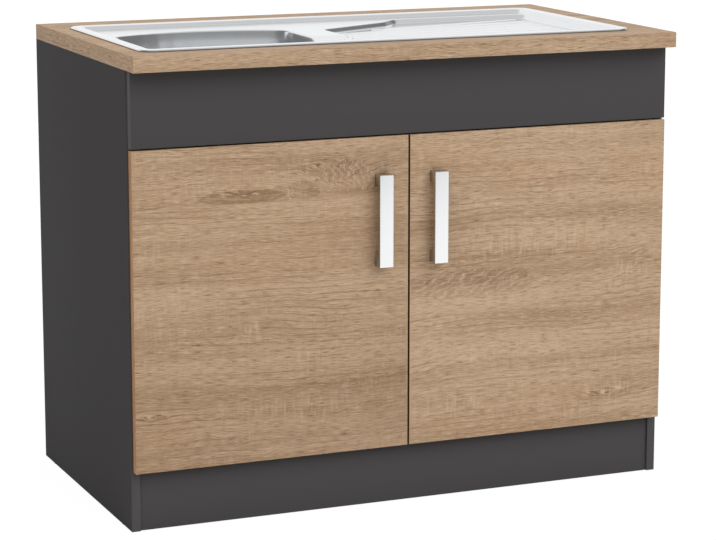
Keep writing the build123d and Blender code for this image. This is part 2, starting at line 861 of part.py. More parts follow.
def sink_pressing():
    """The one-piece pressed sheet: bead, deck, bowl, drainer tray and ribs."""
    body = slab(flange_outline(0), flange_bottom, bead_top)
    body = fillet(body.edges().group_by(Axis.Z)[-1], bead_radius)
    hollow = slab(flange_outline(sheet), flange_bottom, bead_top - sheet)
    body -= fillet(hollow.edges().group_by(Axis.Z)[-1], bead_inner_radius)
    body += slab(flange_outline(bead_width - sheet), deck_z - sheet, bead_top - sheet / 2)
    body += basin(bowl_outline(), bowl_depth, bowl_draft, bowl_foot_radius, sheet)
    body += basin(tray_outline(), tray_depth, tray_draft, tray_foot_radius, sheet)
    body += slab(offset(channel_outline(), sheet), deck_z - channel_depth - sheet, deck_z)
    body -= slab(flange_outline(bead_width), deck_z, bead_top)
    body -= basin(bowl_outline(), bowl_depth, bowl_draft, bowl_foot_radius, 0)
    body -= basin(tray_outline(), tray_depth, tray_draft, tray_foot_radius, 0)
    body -= slab(channel_outline(), deck_z - channel_depth, deck_z)
    for index in range(rib_count):
        body += rib(index, 0)
    for index in range(rib_count):
        body -= rib(index, -sheet)
    body -= drain_rod(bowl_floor - 2 * sheet, bowl_floor + sheet, waste_hole_radius)
    return body


def sink_seal():
    """The foam strip between the flange and the worktop."""
    ring = flange_outline(seal_inset) - flange_outline(seal_inset + seal_width)
    return slab(ring, unit_height, flange_bottom)


def clip_places():
    """Sink clips round the cut-out: (x, y, direction in which the claw reaches out)."""
    hole_x = sink_length / 2 - cutout_inset
    hole_y = sink_width / 2 - cutout_inset
    pitch_x = 2 * hole_x / clip_count_long
    pitch_y = 2 * hole_y / clip_count_short
    places = []
    for i in range(clip_count_long):
        x = sink_cx - hole_x + pitch_x * (i + 0.5)
        places += [(x, sink_cy + side * hole_y, (0, side)) for side in (-1, 1)]
    for i in range(clip_count_short):
        y = sink_cy - hole_y + pitch_y * (i + 0.5)
        places += [(sink_cx + side * hole_x, y, (side, 0)) for side in (-1, 1)]
    return places


def oriented(x, y, out, item):
    """Place an item made with its claw along +X at the cut-out's edge."""
    turn = degrees(atan2(out[1], out[0]))
    return Pos(x, y) * Rot(0, 0, turn) * item


def sink_clip():
    """A bent steel clip: welded to the bead's inner wall, with a claw under the worktop."""
    half = clip_width / 2
    wall = sheet + cutout_inset - bead_width
    low = worktop_bottom - clip_drop
    upright = block(wall, wall + clip_sheet, -half, half, low, flange_bottom)
    claw = block(wall + clip_sheet, clip_reach, -half, half, low, low + clip_sheet)
    return upright + claw - clip_screw()


def clip_screw():
    """The pressure screw that turns up through the claw against the worktop."""
    x = clip_screw_reach
    low = worktop_bottom - clip_drop - clip_screw_stick_out
    shank = rod((x, 0, low), (x, 0, worktop_bottom), clip_screw_radius)
    return shank + rod((x, 0, low), (x, 0, low + clip_sheet), clip_screw_head)


# ---- waste and trap --------------------------------------------------------
def turned(points):
    """A solid of revolution about the drain's axis from (radius, height) points."""
    profile = make_face(Polyline(*[(r, 0, z) for r, z in points], close=True))
    return Pos(drain_x, drain_y) * revolve(profile, Axis.Z)


def waste_gaskets():
    """Rubber rings above and below the bowl's floor."""
    upper = turned(ring_points(waste_hole_radius, waste_flange_radius, bowl_floor, waste_seat))
    lower = turned(ring_points(waste_hole_radius, waste_flange_radius,
                               waste_top, waste_top + gasket_thickness))
    return [upper, lower]


def ring_points(r0, r1, z0, z1):
    """The four corners of a ring's section."""
    return [(r0, z0), (r1, z0), (r1, z1), (r0, z1)]


def drain_rod(z0, z1, radius, x=0.0, y=0.0):
    """An upright rod beside or on the drain's axis."""
    return rod((drain_x + x, drain_y + y, z0), (drain_x + x, drain_y + y, z1), radius)


def around(count, radius):
    """Offsets evenly spaced on a circle."""
    return [(radius * cos(radians(360 * i / count)), radius * sin(radians(360 * i / count)))
            for i in range(count)]


def waste_flange():
    """The steel strainer seat: a flange on the bowl's floor and a pierced cup below."""
    outer = waste_cup_radius + waste_flange_sheet
    cup_bottom = waste_seat - waste_cup_depth
    flange = turned([
        (0, cup_bottom),
        (outer, cup_bottom),
        (outer, waste_seat),
        (waste_flange_radius, waste_seat),
        (waste_flange_radius, waste_seat + waste_flange_sheet),
        (waste_cup_radius, waste_seat + waste_flange_sheet),
        (waste_cup_radius, cup_bottom + waste_flange_sheet),
        (0, cup_bottom + waste_flange_sheet),
    ])
    flange -= drain_rod(cup_bottom, cup_bottom + waste_flange_sheet, waste_screw_radius)
    for x, y in around(waste_hole_count, waste_hole_ring):
        flange -= drain_rod(cup_bottom, cup_bottom + waste_flange_sheet, waste_drain_hole, x, y)
    return flange


def strainer_basket():
    """The lift-out basket: a pierced floor, a rim on the seat and a stem for the knob."""
    outer = waste_cup_radius - basket_clearance
    bottom = waste_seat - basket_depth
    inner = outer - basket_sheet
    rim = waste_seat + waste_flange_sheet
    basket = turned([
        (0, bottom),
        (outer, bottom),
        (outer, rim),
        (waste_cup_radius + basket_clearance, rim),
        (waste_cup_radius + basket_clearance, rim + basket_sheet),
        (inner, rim + basket_sheet),
        (inner, bottom + basket_sheet),
        (0, bottom + basket_sheet),
    ])
    for share, count in zip(basket_ring_shares, basket_ring_counts):
        for x, y in around(count, inner * share):
            basket -= drain_rod(bottom, bottom + basket_sheet, basket_hole_radius, x, y)
    basket += drain_rod(bottom + basket_sheet, bottom + basket_stem_height, basket_stem_radius)
    return basket


def basket_knob():
    """The plastic knob that the basket is lifted by."""
    stem_top = waste_seat - basket_depth + basket_stem_height
    knob = drain_rod(stem_top, stem_top + basket_knob_height, basket_knob_radius)
    return fillet(knob.edges().group_by(Axis.Z)[-1], basket_knob_round)


def waste_body():
    """The plastic body under the bowl, with a cross bar for the screw and an outlet."""
    wall = waste_body_wall
    r = waste_cup_radius + waste_flange_sheet + waste_body_gap
    floor = waste_body_floor
    body = turned([
        (outlet_radius - pipe_wall, floor - nut_height),
        (outlet_radius, floor - nut_height),
        (outlet_radius, floor),
        (r + wall, floor),
        (r + wall, waste_top - wall),
        (waste_flange_radius, waste_top - wall),
        (waste_flange_radius, waste_top),
        (r, waste_top),
        (r, floor + wall),
        (outlet_radius - pipe_wall, floor + wall),
    ])
    bar_top = waste_seat - waste_cup_depth
    bar_low = bar_top - waste_bar_height
    reach = r + wall / 2
    bar = block(drain_x - reach, drain_x + reach, drain_y - waste_bar_half, drain_y + waste_bar_half,
                bar_low, bar_top)
    return body + bar - drain_rod(bar_low, bar_top, waste_screw_radius)


def waste_screw():
    """The screw that pulls the steel seat and the plastic body together."""
    seat = waste_seat - waste_cup_depth + waste_flange_sheet
    tip = seat - waste_screw_length
    return screw((drain_x, drain_y, seat), (drain_x, drain_y, tip), waste_screw_radius,
                 waste_screw_head, waste_flange_sheet)


def ribbed_nut(z0, z1, bore):
    """A slip nut with grip ribs."""
    nut = drain_rod(z0, z1, nut_radius)
    for x, y in around(nut_rib_count, nut_radius):
        nut += drain_rod(z0, z1, nut_rib_radius, x, y)
    return nut - drain_rod(z0, z1, bore)


def tail_pipe():
    """The pipe from the waste body down into the bottle trap."""
    top = tail_top
    low = bottle_floor + dip_pipe_gap
    return tube((drain_x, drain_y, low), (drain_x, drain_y, top), outlet_radius, pipe_wall)


def trap_bottle():
    """The trap's body: a bottle open below, a neck above and a side outlet."""
    wall = bottle_wall
    neck = outlet_radius + neck_clearance
    body = turned([
        (neck, bottle_top - wall),
        (bottle_radius - wall, bottle_top - wall),
        (bottle_radius - wall, bottle_floor + cup_lap),
        (bottle_radius, bottle_floor + cup_lap),
        (bottle_radius, bottle_top),
        (neck + wall, bottle_top),
        (neck + wall, bottle_top + neck_height),
        (neck, bottle_top + neck_height),
    ])
    y0 = drain_y + bottle_radius - wall
    spigot = rod((drain_x, y0 - wall, outlet_z), (drain_x, spigot_end, outlet_z), neck + wall)
    body += spigot - drain_rod(bottle_floor, bottle_top, bottle_radius - wall)
    return body - rod((drain_x, drain_y, outlet_z), (drain_x, spigot_end, outlet_z), neck)


def trap_cup():
    """The cup that screws off below the bottle for cleaning."""
    cup = turned([
        (0, bottle_floor),
        (bottle_radius + bottle_wall, bottle_floor),
        (bottle_radius + bottle_wall, bottle_floor + 2 * cup_lap),
        (bottle_radius, bottle_floor + 2 * cup_lap),
        (bottle_radius, bottle_floor + cup_lap),
        (bottle_radius - bottle_wall, bottle_floor + cup_lap),
        (bottle_radius - bottle_wall, bottle_floor + bottle_wall),
        (0, bottle_floor + bottle_wall),
    ])
    for x, y in around(nut_rib_count, bottle_radius + bottle_wall):
        cup += drain_rod(bottle_floor, bottle_floor + 2 * cup_lap, nut_rib_radius, x, y)
    return cup


def outlet_nut():
    """The slip nut on the trap's side outlet."""
    y0, y1 = spigot_end, spigot_end + nut_height
    nut = rod((drain_x, y0, outlet_z), (drain_x, y1, outlet_z), nut_radius)
    for dx, dz in around(nut_rib_count, nut_radius):
        nut += rod((drain_x + dx, y0, outlet_z + dz), (drain_x + dx, y1, outlet_z + dz), nut_rib_radius)
    return nut - rod((drain_x, y0, outlet_z), (drain_x, y1, outlet_z), outlet_radius)


def outlet_pipe():
    """The pipe from the trap through the back to the wall, with a stop collar behind the nut."""
    start = spigot_end - nut_height / 2
    nut_end = spigot_end + nut_height
    end = back_y - outlet_end_gap
    pipe = rod((drain_x, start, outlet_z), (drain_x, end, outlet_z), outlet_radius)
    pipe += rod((drain_x, nut_end, outlet_z), (drain_x, nut_end + outlet_collar_width, outlet_z),
                outlet_collar_radius)
    return pipe - rod((drain_x, start, outlet_z), (drain_x, end, outlet_z), outlet_radius - pipe_wall)


def slip_nuts():
    """The two nuts on the tail pipe."""
    upper = ribbed_nut(tail_top - nut_height, tail_top, outlet_radius)
    neck_top = bottle_top + neck_height
    lower = ribbed_nut(neck_top, neck_top + nut_height, outlet_radius)
    return [upper, lower]


# ---- write every node ------------------------------------------------------
def write_carcass():
    """The boards and what joins them."""
    save("left_side_panel", side_panel(-1))
    save("right_side_panel", side_panel(1))
    save("bottom_panel", bottom_panel())
    save("front_rail", front_rail())
    save("rear_rail", rear_rail())
    save("plinth_board", plinth_board())
    save("back_panel", back_panel())
    save("floor_glides", *floor_glides())
    save("worktop", worktop())
    save("worktop_edging", *worktop_edging())
    save("blind_front_panel", blind_panel())
    save("blind_front_screws", *blind_screws())
    connectors()
    brackets()


def write_door(side, name):
    """One door with everything that swings on it, and its hinges."""
    save(f"{name}_door_panel", door_panel(side))
    save(f"{name}_door_edging", *door_edging(side))
    save(f"{name}_handle", handle(side))
    save(f"{name}_handle_screws", *handle_screws(side))
    save(f"{name}_door_buffers", *door_buffers(side))
    hinges(side, name)
    save(f"{name}_hinge_plate_screws", *plate_screws(side))


def write_sink():
    """The sink and how it is held."""
    save("sink_pressing", sink_pressing())
    save("sink_seal", sink_seal())
    save("sink_clips", *[oriented(x, y, out, sink_clip()) for x, y, out in clip_places()])
    save("sink_clip_screws", *[oriented(x, y, out, clip_screw()) for x, y, out in clip_places()])


def write_waste():
    """The strainer waste and the bottle trap."""
    save("waste_flange", waste_flange())
    save("waste_gaskets", *waste_gaskets())
    save("waste_body", waste_body())
    save("waste_screw", waste_screw())
    save("strainer_basket", strainer_basket())
    save("strainer_knob", basket_knob())
    save("tail_pipe", tail_pipe())
    save("slip_nuts", *slip_nuts())
    save("trap_bottle", trap_bottle())
    save("trap_cup", trap_cup())
    save("outlet_nut", outlet_nut())
    save("outlet_pipe", outlet_pipe())


write_carcass()
write_door(-1, "left")
write_door(1, "right")
write_sink()
write_waste()
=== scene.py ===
"""The looks of a two-door kitchen sink unit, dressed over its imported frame."""
import logging
import math
from dataclasses import dataclass
from enum import Enum
from typing import Sequence

import bmesh
import bpy
from bpy.types import Material, Node, NodeSocket, NodeTree, Object
from mathutils import Matrix, Vector
from mathutils.geometry import delaunay_2d_cdt


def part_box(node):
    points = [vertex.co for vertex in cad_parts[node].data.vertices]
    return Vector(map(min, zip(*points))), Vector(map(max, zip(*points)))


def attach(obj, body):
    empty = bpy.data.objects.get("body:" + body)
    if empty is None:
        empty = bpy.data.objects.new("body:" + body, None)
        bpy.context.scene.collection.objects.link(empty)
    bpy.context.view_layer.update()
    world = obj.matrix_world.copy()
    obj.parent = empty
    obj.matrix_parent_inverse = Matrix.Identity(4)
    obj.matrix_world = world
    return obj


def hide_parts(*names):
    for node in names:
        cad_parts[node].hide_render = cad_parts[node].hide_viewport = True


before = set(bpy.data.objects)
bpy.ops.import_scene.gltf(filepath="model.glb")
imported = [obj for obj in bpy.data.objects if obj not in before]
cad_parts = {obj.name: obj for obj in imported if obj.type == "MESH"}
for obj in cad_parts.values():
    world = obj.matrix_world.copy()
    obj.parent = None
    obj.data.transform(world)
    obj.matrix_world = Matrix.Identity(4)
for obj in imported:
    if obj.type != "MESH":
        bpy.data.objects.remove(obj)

LOG = logging.getLogger("sink_unit")
Point = tuple[float, float]
Colour = tuple[float, float, float]
Walk = list[tuple[Vector, Vector]]
Ring = list[bmesh.types.BMVert]
WHITE: Colour = (1.0, 1.0, 1.0)
# Painted shade for the doors' meeting edges, standing in for the dark gap between the doors
MEETING_EDGE_SHADE: Colour = (0.30, 0.24, 0.20)
ON_STRIP = 0.0004  # within this of an edge strip's face, a place counts as on it
SEAM_HALF = 0.0006  # half the width over which two planks meet
SEAM_OFFSET = 0.27  # a seam's height less this is its place across the grain, on a door's face


class Body(Enum):
    """The frame's moving bodies that new pieces ride on."""

    CARCASS = "carcass"
    LEFT_DOOR = "left_door"
    RIGHT_DOOR = "right_door"


class Hand(Enum):
    """The side of the unit that a door hangs on, as the user sees it."""

    LEFT = "left"
    RIGHT = "right"

    @property
    def door(self) -> Body:
        """The body of this side's door."""
        return Body(f"{self.value}_door")


# ---- node trees ----
@dataclass(frozen=True)
class Num:
    """A value in a node tree, on which plain arithmetic adds the nodes."""

    net: "Net"
    socket: NodeSocket

    def op(self, operation: str, *others: object) -> "Num":
        """The result of a Math node on this value and others."""
        return self.net.math(operation, self, *others)

    def __add__(self, other: object) -> "Num":
        """The sum."""
        return self.op("ADD", other)

    def __sub__(self, other: object) -> "Num":
        """The difference."""
        return self.op("SUBTRACT", other)

    def __rsub__(self, other: object) -> "Num":
        """The difference from a plain number."""
        return self.net.math("SUBTRACT", other, self)

    def __mul__(self, other: object) -> "Num":
        """The product."""
        return self.op("MULTIPLY", other)

    def __truediv__(self, other: object) -> "Num":
        """The quotient."""
        return self.op("DIVIDE", other)

    def step(self, start: float, stop: float, low: float = 0.0, high: float = 1.0) -> "Num":
        """A smooth step from low, where this value is at the start, to high at the stop."""
        fed = {"Value": self, "From Min": start, "From Max": stop, "To Min": low, "To Max": high}
        return self.net.out("ShaderNodeMapRange", "Result", fed, interpolation_type="SMOOTHSTEP")


class Net:
    """A node tree with short calls, which the finishes, the sky and the ribs share."""

    def __init__(self, tree: NodeTree) -> None:
        """Take a tree and empty it."""
        self.tree = tree
        tree.nodes.clear()

    def feed(self, target: NodeSocket, value: object) -> None:
        """Give an input another node's output or a plain value.

        Args:
            target: The input.
            value: A value in the tree, a socket, a number or a colour.
        """
        if isinstance(value, Num):
            value = value.socket
        if isinstance(value, NodeSocket):
            self.tree.links.new(value, target)
        else:
            target.default_value = (*value, 1.0) if target.type == "RGBA" else value

    def add(self, kind: str, fed: dict | None = None, **settings: object) -> Node:
        """Add a node.

        Args:
            kind: The node's type name.
            fed: Its inputs, by name or number, with what each takes.
            settings: Its plain properties.

        Returns:
            The new node.
        """
        node = self.tree.nodes.new(kind)
        for key, value in settings.items():
            setattr(node, key, value)
        for key, value in (fed or {}).items():
            self.feed(node.inputs[key], value)
        return node

    def out(self, kind: str, output: str | int, fed: dict | None = None, **settings: object) -> Num:
        """Add a node and take one of its outputs."""
        return Num(self, self.add(kind, fed, **settings).outputs[output])

    def math(self, operation: str, *values: object) -> Num:
        """The result of a Math node."""
        return self.out("ShaderNodeMath", 0, dict(enumerate(values)), operation=operation)

    def blend(self, share: object, low: object, high: object) -> Num:
        """A number between two others, by the share of the second."""
        return self.out("ShaderNodeMix", 0, {0: share, 2: low, 3: high})

    def mix(self, share: object, low: object, high: object, mode: str = "MIX") -> Num:
        """A mix of two colours, by the share of the second."""
        fed = {0: share, 6: low, 7: high}
        return self.out("ShaderNodeMix", 2, fed, data_type="RGBA", blend_type=mode)

    def noise(self, place: object, scale: float, detail: float, roughness: float) -> Num:
        """Noise between zero and one, whose scale is in features per metre of the place."""
        fed = {"Vector": place, "Scale": scale, "Detail": detail, "Roughness": roughness}
        return self.out("ShaderNodeTexNoise", "Fac", fed)

    def split(self, vector: object) -> list[Num]:
        """The three parts of a vector."""
        return [Num(self, part) for part in self.add("ShaderNodeSeparateXYZ", {0: vector}).outputs]

    def join(self, *parts: object) -> Num:
        """A vector of up to three parts."""
        return self.out("ShaderNodeCombineXYZ", 0, dict(enumerate(parts)))


class ShaderSheet(Net):
    """One material's node tree."""

    def __init__(self, name: str, roughness: float, metallic: float = 0.0, specular: float = 0.5) -> None:
        """Start a material with one surface shader.

        Args:
            name: The material's name.
            roughness: The shader's plain roughness.
            metallic: One for a metal and zero for anything else.
            specular: How much a surface that isn't metal mirrors.
        """
        self.material = bpy.data.materials.new(name)
        self.material.use_nodes = True
        super().__init__(self.material.node_tree)
        fed = {"Roughness": roughness, "Metallic": metallic, "Specular IOR Level": specular}
        self.shader = self.add("ShaderNodeBsdfPrincipled", fed)
        self.add("ShaderNodeOutputMaterial", {"Surface": self.shader.outputs["BSDF"]})

    def coords(self, scale: Sequence[float] = (1, 1, 1)) -> Num:
        """The object's own coordinates in metres, stretched along each axis."""
        own = self.out("ShaderNodeTexCoord", "Object")
        return self.out("ShaderNodeMapping", "Vector", {"Vector": own, "Scale": scale})

    def tinted(self, colour: object, tint: Colour) -> Num:
        """A colour under a stain."""
        return self.mix(1.0, colour, tint, "MULTIPLY")

    def colour(self, value: object) -> None:
        """Set the surface's colour."""
        self.feed(self.shader.inputs["Base Color"], value)

    def rough(self, value: Num, low: float, high: float) -> None:
        """Let the roughness run between two values with a texture."""
        spread = self.out("ShaderNodeMapRange", "Result", {"Value": value, "To Min": low, "To Max": high})
        self.feed(self.shader.inputs["Roughness"], spread)

    def bump(self, height: Num, depth: float, strength: float) -> None:
        """Raise the surface by a height, of which one stands for a depth in metres."""
        fed = {"Height": height, "Distance": depth, "Strength": strength}
        self.feed(self.shader.inputs["Normal"], self.out("ShaderNodeBump", "Normal", fed))


def shaded(colour: Colour, share: float) -> Colour:
    """A colour made darker or lighter by a share."""
    return tuple(part * share for part in colour)


def grain(along: Num, ring: Num, length: float, height: float, detail: float, roughness: float) -> Num:
    """Noise that runs along the grain, by its features per metre along and across."""
    place = along.net.join(along * length, length, ring * height)
    return along.net.noise(place, 1.0, detail, roughness)


# ---- finishes ----
@dataclass(frozen=True)
class Place:
    """A smooth hill on the face of a board: its centre and half sizes in metres."""

    x: float
    z: float
    half_length: float
    half_height: float

    def hill(self, x: Num, z: Num) -> Num:
        """The hill's height at a place on the face, one at its centre."""
        dx, dz = (x - self.x) / self.half_length, (z - self.z) / self.half_height
        return ((dx * dx + dz * dz) * -1.0).op("EXPONENT")


@dataclass(frozen=True)
class Figure:
    """Figure in the oak that the grain flows round: a calm lens, or a flame of pale lines.

    The lines of a flame lie a pitch apart along its across direction, and sweep aside at its foot.
    """

    place: Place
    lift: float
    shade: float
    curl: float = 0.0
    across: Point = (0.0, 0.0)
    pitch: float = 0.0085
    sweep: float = 0.0
    pale: float = 0.70
    sway: float = 5.2

    def lines(self, x: Num, z: Num) -> Num:
        """The wave of the flame's lines.

        Args:
            x: The coordinate along the grain.
            z: The height on the face.

        Returns:
            A value that runs from zero to one and back over each pitch.
        """
        swaying = x.net.noise(x.net.join(x * 30.0, self.place.x, z * 70.0), 1.0, 2.0, 0.5)
        run, rise, sweep = (part / self.pitch * 2 for part in (*self.across, self.sweep))
        foot = self.place.z - self.place.half_height
        fall = (foot - z) / (self.place.half_height * 0.40)
        wave = x * run + z * rise + swaying * self.sway - fall.op("EXPONENT") * sweep
        return wave.op("PINGPONG", 1.0)


@dataclass(frozen=True)
class OakLaminate:
    """Rough-sawn oak laminate with its grain along X, in planks that meet at seams."""

    name: str
    shift: float
    ends: Point
    seams: tuple[float, ...] = ()
    figures: tuple[Figure, ...] = ()
    saw_patches: tuple[Place, ...] = ()
    light: Colour = (0.660, 0.485, 0.335)
    pale: Colour = (0.545, 0.385, 0.252)
    middle: Colour = (0.430, 0.288, 0.176)
    dark: Colour = (0.215, 0.122, 0.062)
    warm: Colour = (0.470, 0.290, 0.160)
    upright_ends: bool = True
    stain: Colour = WHITE
    foot_darkening: Colour = WHITE
    end_tints: tuple[tuple[float, Colour], ...] = ()
    rings_per_metre: float = 180.0
    plank_shift: Point = (1.73, 0.61)
    relief: float = 0.00016

    def lay_grain(self, x: Num, y: Num, z: Num) -> tuple[Num, Num, Num]:
        """Let the grain turn along the end strips, and start afresh at each seam.

        Args:
            x: The coordinate along the board.
            y: The depth.
            z: The height.

        Returns:
            The height across the board, and the coordinates along and across its grain.
        """
        left, right = (x.op("COMPARE", end, ON_STRIP) for end in self.ends)
        on_end = left.op("MAXIMUM", right)
        turned = (z, y) if self.upright_ends else (y, z)
        run, across = (face + on_end * (end - face) for face, end in zip((x, z + y), turned))
        along, over = run + self.shift, across
        for seam in self.seams:
            above = across.step(seam - SEAM_HALF, seam + SEAM_HALF)
            along, over = along + above * self.plank_shift[0], over + above * self.plank_shift[1]
        return across, along, over

    def own_hill(self, figure: Figure, x: Num, z: Num, across: Num) -> Num:
        """A figure's hill, cut off at the seams of its own plank.

        Args:
            figure: The figure.
            x: The coordinate along the board.
            z: The height on the face.
            across: The height across the board, which the seams are set on.

        Returns:
            The hill's height.
        """
        hill = figure.place.hill(x, z)
        for seam in self.seams:
            side = SEAM_HALF if figure.place.z > seam + SEAM_OFFSET else -SEAM_HALF
            hill = hill * across.step(seam - side, seam + side)
        return hill

    def build(self) -> Material:
        """Make the material.

        Returns:
            The oak laminate.
        """
        sheet = ShaderSheet(self.name, 0.6, specular=0.22)
        x, y, z = sheet.split(sheet.coords())
        across, along, over = self.lay_grain(x, y, z)
        drawn = [(figure, self.own_hill(figure, x, z, across)) for figure in self.figures]
        ring = over + grain(along, over, 1.5, 4.0, 2.0, 0.4) * 0.070
        ring = ring + grain(along, over, 9.0, 24.0, 3.0, 0.5) * 0.016
        curls = grain(along, over, 42.0, 60.0, 2.0, 0.6)
        for figure, hill in drawn:
            ring = ring + hill * figure.lift
            if figure.curl:
                ring = ring + curls * figure.curl * hill
        bands = grain(along, ring, 1.2, 24.0, 4.0, 0.6)
        streaks = grain(along, ring, 2.6, 170.0, 4.0, 0.72)
        fibres = grain(along, ring, 13.0, 640.0, 3.0, 0.68)
        pores = grain(along, ring, 46.0, 980.0, 2.0, 0.6)
        year_end = (ring * self.rings_per_metre).op("PINGPONG", 1.0).step(0.70, 1.0)
        teeth = sheet.noise(sheet.join(x * 210.0, self.shift, across * 30.0), 1.0, 3.0, 0.6)
        sawn = sheet.noise(sheet.join(x * 7.0, self.shift, across * 24.0), 1.0, 2.0, 0.5)
        sawn = sawn.step(0.50, 0.68) * 0.20 + 0.08
        for patch in self.saw_patches:
            sawn = sawn.op("MAXIMUM", patch.hill(x, z) * 0.55)
        colour = sheet.mix(bands.step(0.36, 0.64), self.middle, self.pale)
        layers = [
            (grain(along, over, 2.4, 9.0, 2.0, 0.5).step(0.48, 0.70), 0.50, self.warm),
            *((hill.step(0.33, 0.40), figure.shade, self.dark) for figure, hill in drawn),
            (bands.step(0.42, 0.24), 0.30, self.dark),
            (streaks.step(0.46, 0.24), 0.34, self.dark),
            (streaks.step(0.54, 0.76), 0.40, self.light),
            (fibres.step(0.46, 0.30), 0.54, self.dark),
            (fibres.step(0.53, 0.69), 0.72, self.light),
            (pores.step(0.47, 0.30), 1.00, self.dark),
            (pores.step(0.53, 0.70), 0.90, self.light),
            (year_end * grain(along, over, 3.0, 20.0, 2.0, 0.5).step(0.44, 0.62), 0.50, self.dark),
        ]
        for figure, hill in drawn:
            if any(figure.across):
                wave, seen = figure.lines(x, z), hill.step(0.20, 0.55)
                layers += [(wave.step(0.74, 0.99) * seen, figure.pale, self.light),
                           (wave.step(0.34, 0.06) * seen, figure.pale * 0.4, self.dark)]
        layers += [(teeth.step(0.50, 0.70), sawn, self.light),
                   (teeth.step(0.46, 0.28), sawn * 0.5, self.dark)]
        for mask, share, tone in layers:
            colour = sheet.mix(mask * share, colour, tone)
        # The end tints colour the edge strips; on the meeting edges the tint is painted shade for the gap
        # between the doors
        for end, tint in self.end_tints:
            colour = sheet.mix(x.op("COMPARE", end, ON_STRIP), colour, sheet.tinted(colour, tint))
        colour = sheet.tinted(colour, self.stain)
        # Darker towards the bottom of the board
        sheet.colour(sheet.mix(z.step(0.62, 0.12), colour, sheet.tinted(colour, self.foot_darkening)))
        sheet.rough(fibres, 0.68, 0.52)
        sheet.bump(fibres * 0.6 + pores * 0.4, self.relief, 0.6)
        return sheet.material


@dataclass(frozen=True)
class BoardMelamine:
    """Matt melamine in one colour, with a painted highlight on the front strip and, where set, on the outer
    ends.
    """

    name: str
    colour: Colour = (0.0742, 0.0705, 0.0723)
    roughness: float = 0.60
    band_highlight: float = 1.0
    band_y: float = -0.2515
    # The ends share is a painted highlight on the outer ends
    ends: float = 1.0
    ends_x: float = 0.5212

    def build(self) -> Material:
        """Make the material.

        Returns:
            The melamine.
        """
        sheet = ShaderSheet(self.name, self.roughness, specular=0.004)
        cloud = sheet.noise(sheet.coords((3, 3, 3)), 1.0, 3.0, 0.5)
        speck = sheet.noise(sheet.coords(), 900.0, 2.0, 0.5)
        x, depth, _ = sheet.split(sheet.coords())
        lighter = shaded(self.colour, 1.025)
        colour = sheet.mix(cloud, shaded(self.colour, 0.975), lighter)
        # Painted highlight: the front edge strip is made lighter for the light it catches
        on_lit_band = depth.step(self.band_y + 0.0003, self.band_y - 0.0003)
        colour = sheet.mix(on_lit_band, colour, shaded(self.colour, self.band_highlight))
        # Painted highlight: the outer ends are made lighter for the light the edge strips catch
        if self.ends != 1.0:
            outside = x.op("ABSOLUTE").step(self.ends_x - 0.0002, self.ends_x + 0.0002)
            colour = sheet.mix(outside, colour, shaded(self.colour, self.ends))
        sheet.colour(sheet.mix(speck.step(0.55, 0.75) * 0.25, colour, lighter))
        sheet.rough(cloud, self.roughness - 0.05, self.roughness + 0.06)
        sheet.bump(speck, 0.00005, 0.4)
        return sheet.material


@dataclass(frozen=True)
class Metal:
    """A metal with fine drawn or tumbled marks and a slight waviness, with painted shade on chosen side faces
    and top and bottom faces.
    """

    name: str
    colour: Colour
    roughness: float
    stretch: Colour = (6.0, 260.0, 260.0)
    smudge: float = 0.05
    wave: float = 0.00004
    wave_scale: float = 9.0
    painted_shade_flanks: tuple[float, ...] = ()
    painted_shade_caps: tuple[float, ...] = ()
    painted_shade_share: float = 0.58

    def build(self) -> Material:
        """Make the material.

        Returns:
            The metal.
        """
        sheet = ShaderSheet(self.name, self.roughness, 1.0)
        marks = sheet.noise(sheet.coords(self.stretch), 1.0, 4.0, 0.6)
        cloud = sheet.noise(sheet.coords((5, 5, 5)), 1.0, 3.0, 0.5)
        colour = sheet.mix(marks, shaded(self.colour, 0.92), self.colour)
        x, _, z = sheet.split(sheet.coords())
        # Painted shade: side faces and top and bottom faces at the given places are darkened, for the shade
        # they lie in
        for value, places in ((x.op("ABSOLUTE"), self.painted_shade_flanks), (z, self.painted_shade_caps)):
            for place in places:
                painted_shade = shaded(self.colour, self.painted_shade_share)
                colour = sheet.mix(value.op("COMPARE", place, 0.0003), colour, painted_shade)
        sheet.colour(colour)
        sheet.rough(marks * 0.6 + cloud * 0.4, self.roughness - self.smudge, self.roughness + self.smudge)
        sheet.bump(sheet.noise(sheet.coords(), self.wave_scale, 1.0, 0.4), self.wave, 1.0)
        return sheet.material


@dataclass(frozen=True)
class Moulding:
    """Moulded plastic or rubber with a fine spark-eroded grain."""

    name: str
    colour: Colour
    roughness: float
    grain: float = 700.0

    def build(self) -> Material:
        """Make the material.

        Returns:
            The plastic or rubber.
        """
        sheet = ShaderSheet(self.name, self.roughness)
        cloud = sheet.noise(sheet.coords((14, 14, 14)), 1.0, 3.0, 0.5)
        sheet.colour(sheet.mix(cloud, shaded(self.colour, 0.90), self.colour))
        sheet.rough(cloud, self.roughness - 0.06, self.roughness + 0.06)
        sheet.bump(sheet.noise(sheet.coords(), self.grain, 3.0, 0.6), 0.00005, 0.5)
        return sheet.material


@dataclass(frozen=True)
class DowelWood:
    """Plain beech for the dowels, grained along X."""

    name: str = "beech_dowel"
    colour: Colour = (0.58, 0.42, 0.26)

    def build(self) -> Material:
        """Make the material.

        Returns:
            The beech.
        """
        sheet = ShaderSheet(self.name, 0.6)
        fibres = sheet.noise(sheet.coords((20, 500, 500)), 1.0, 3.0, 0.6)
        sheet.colour(sheet.mix(fibres, shaded(self.colour, 0.75), self.colour))
        sheet.bump(fibres, 0.0001, 0.5)
        return sheet.material


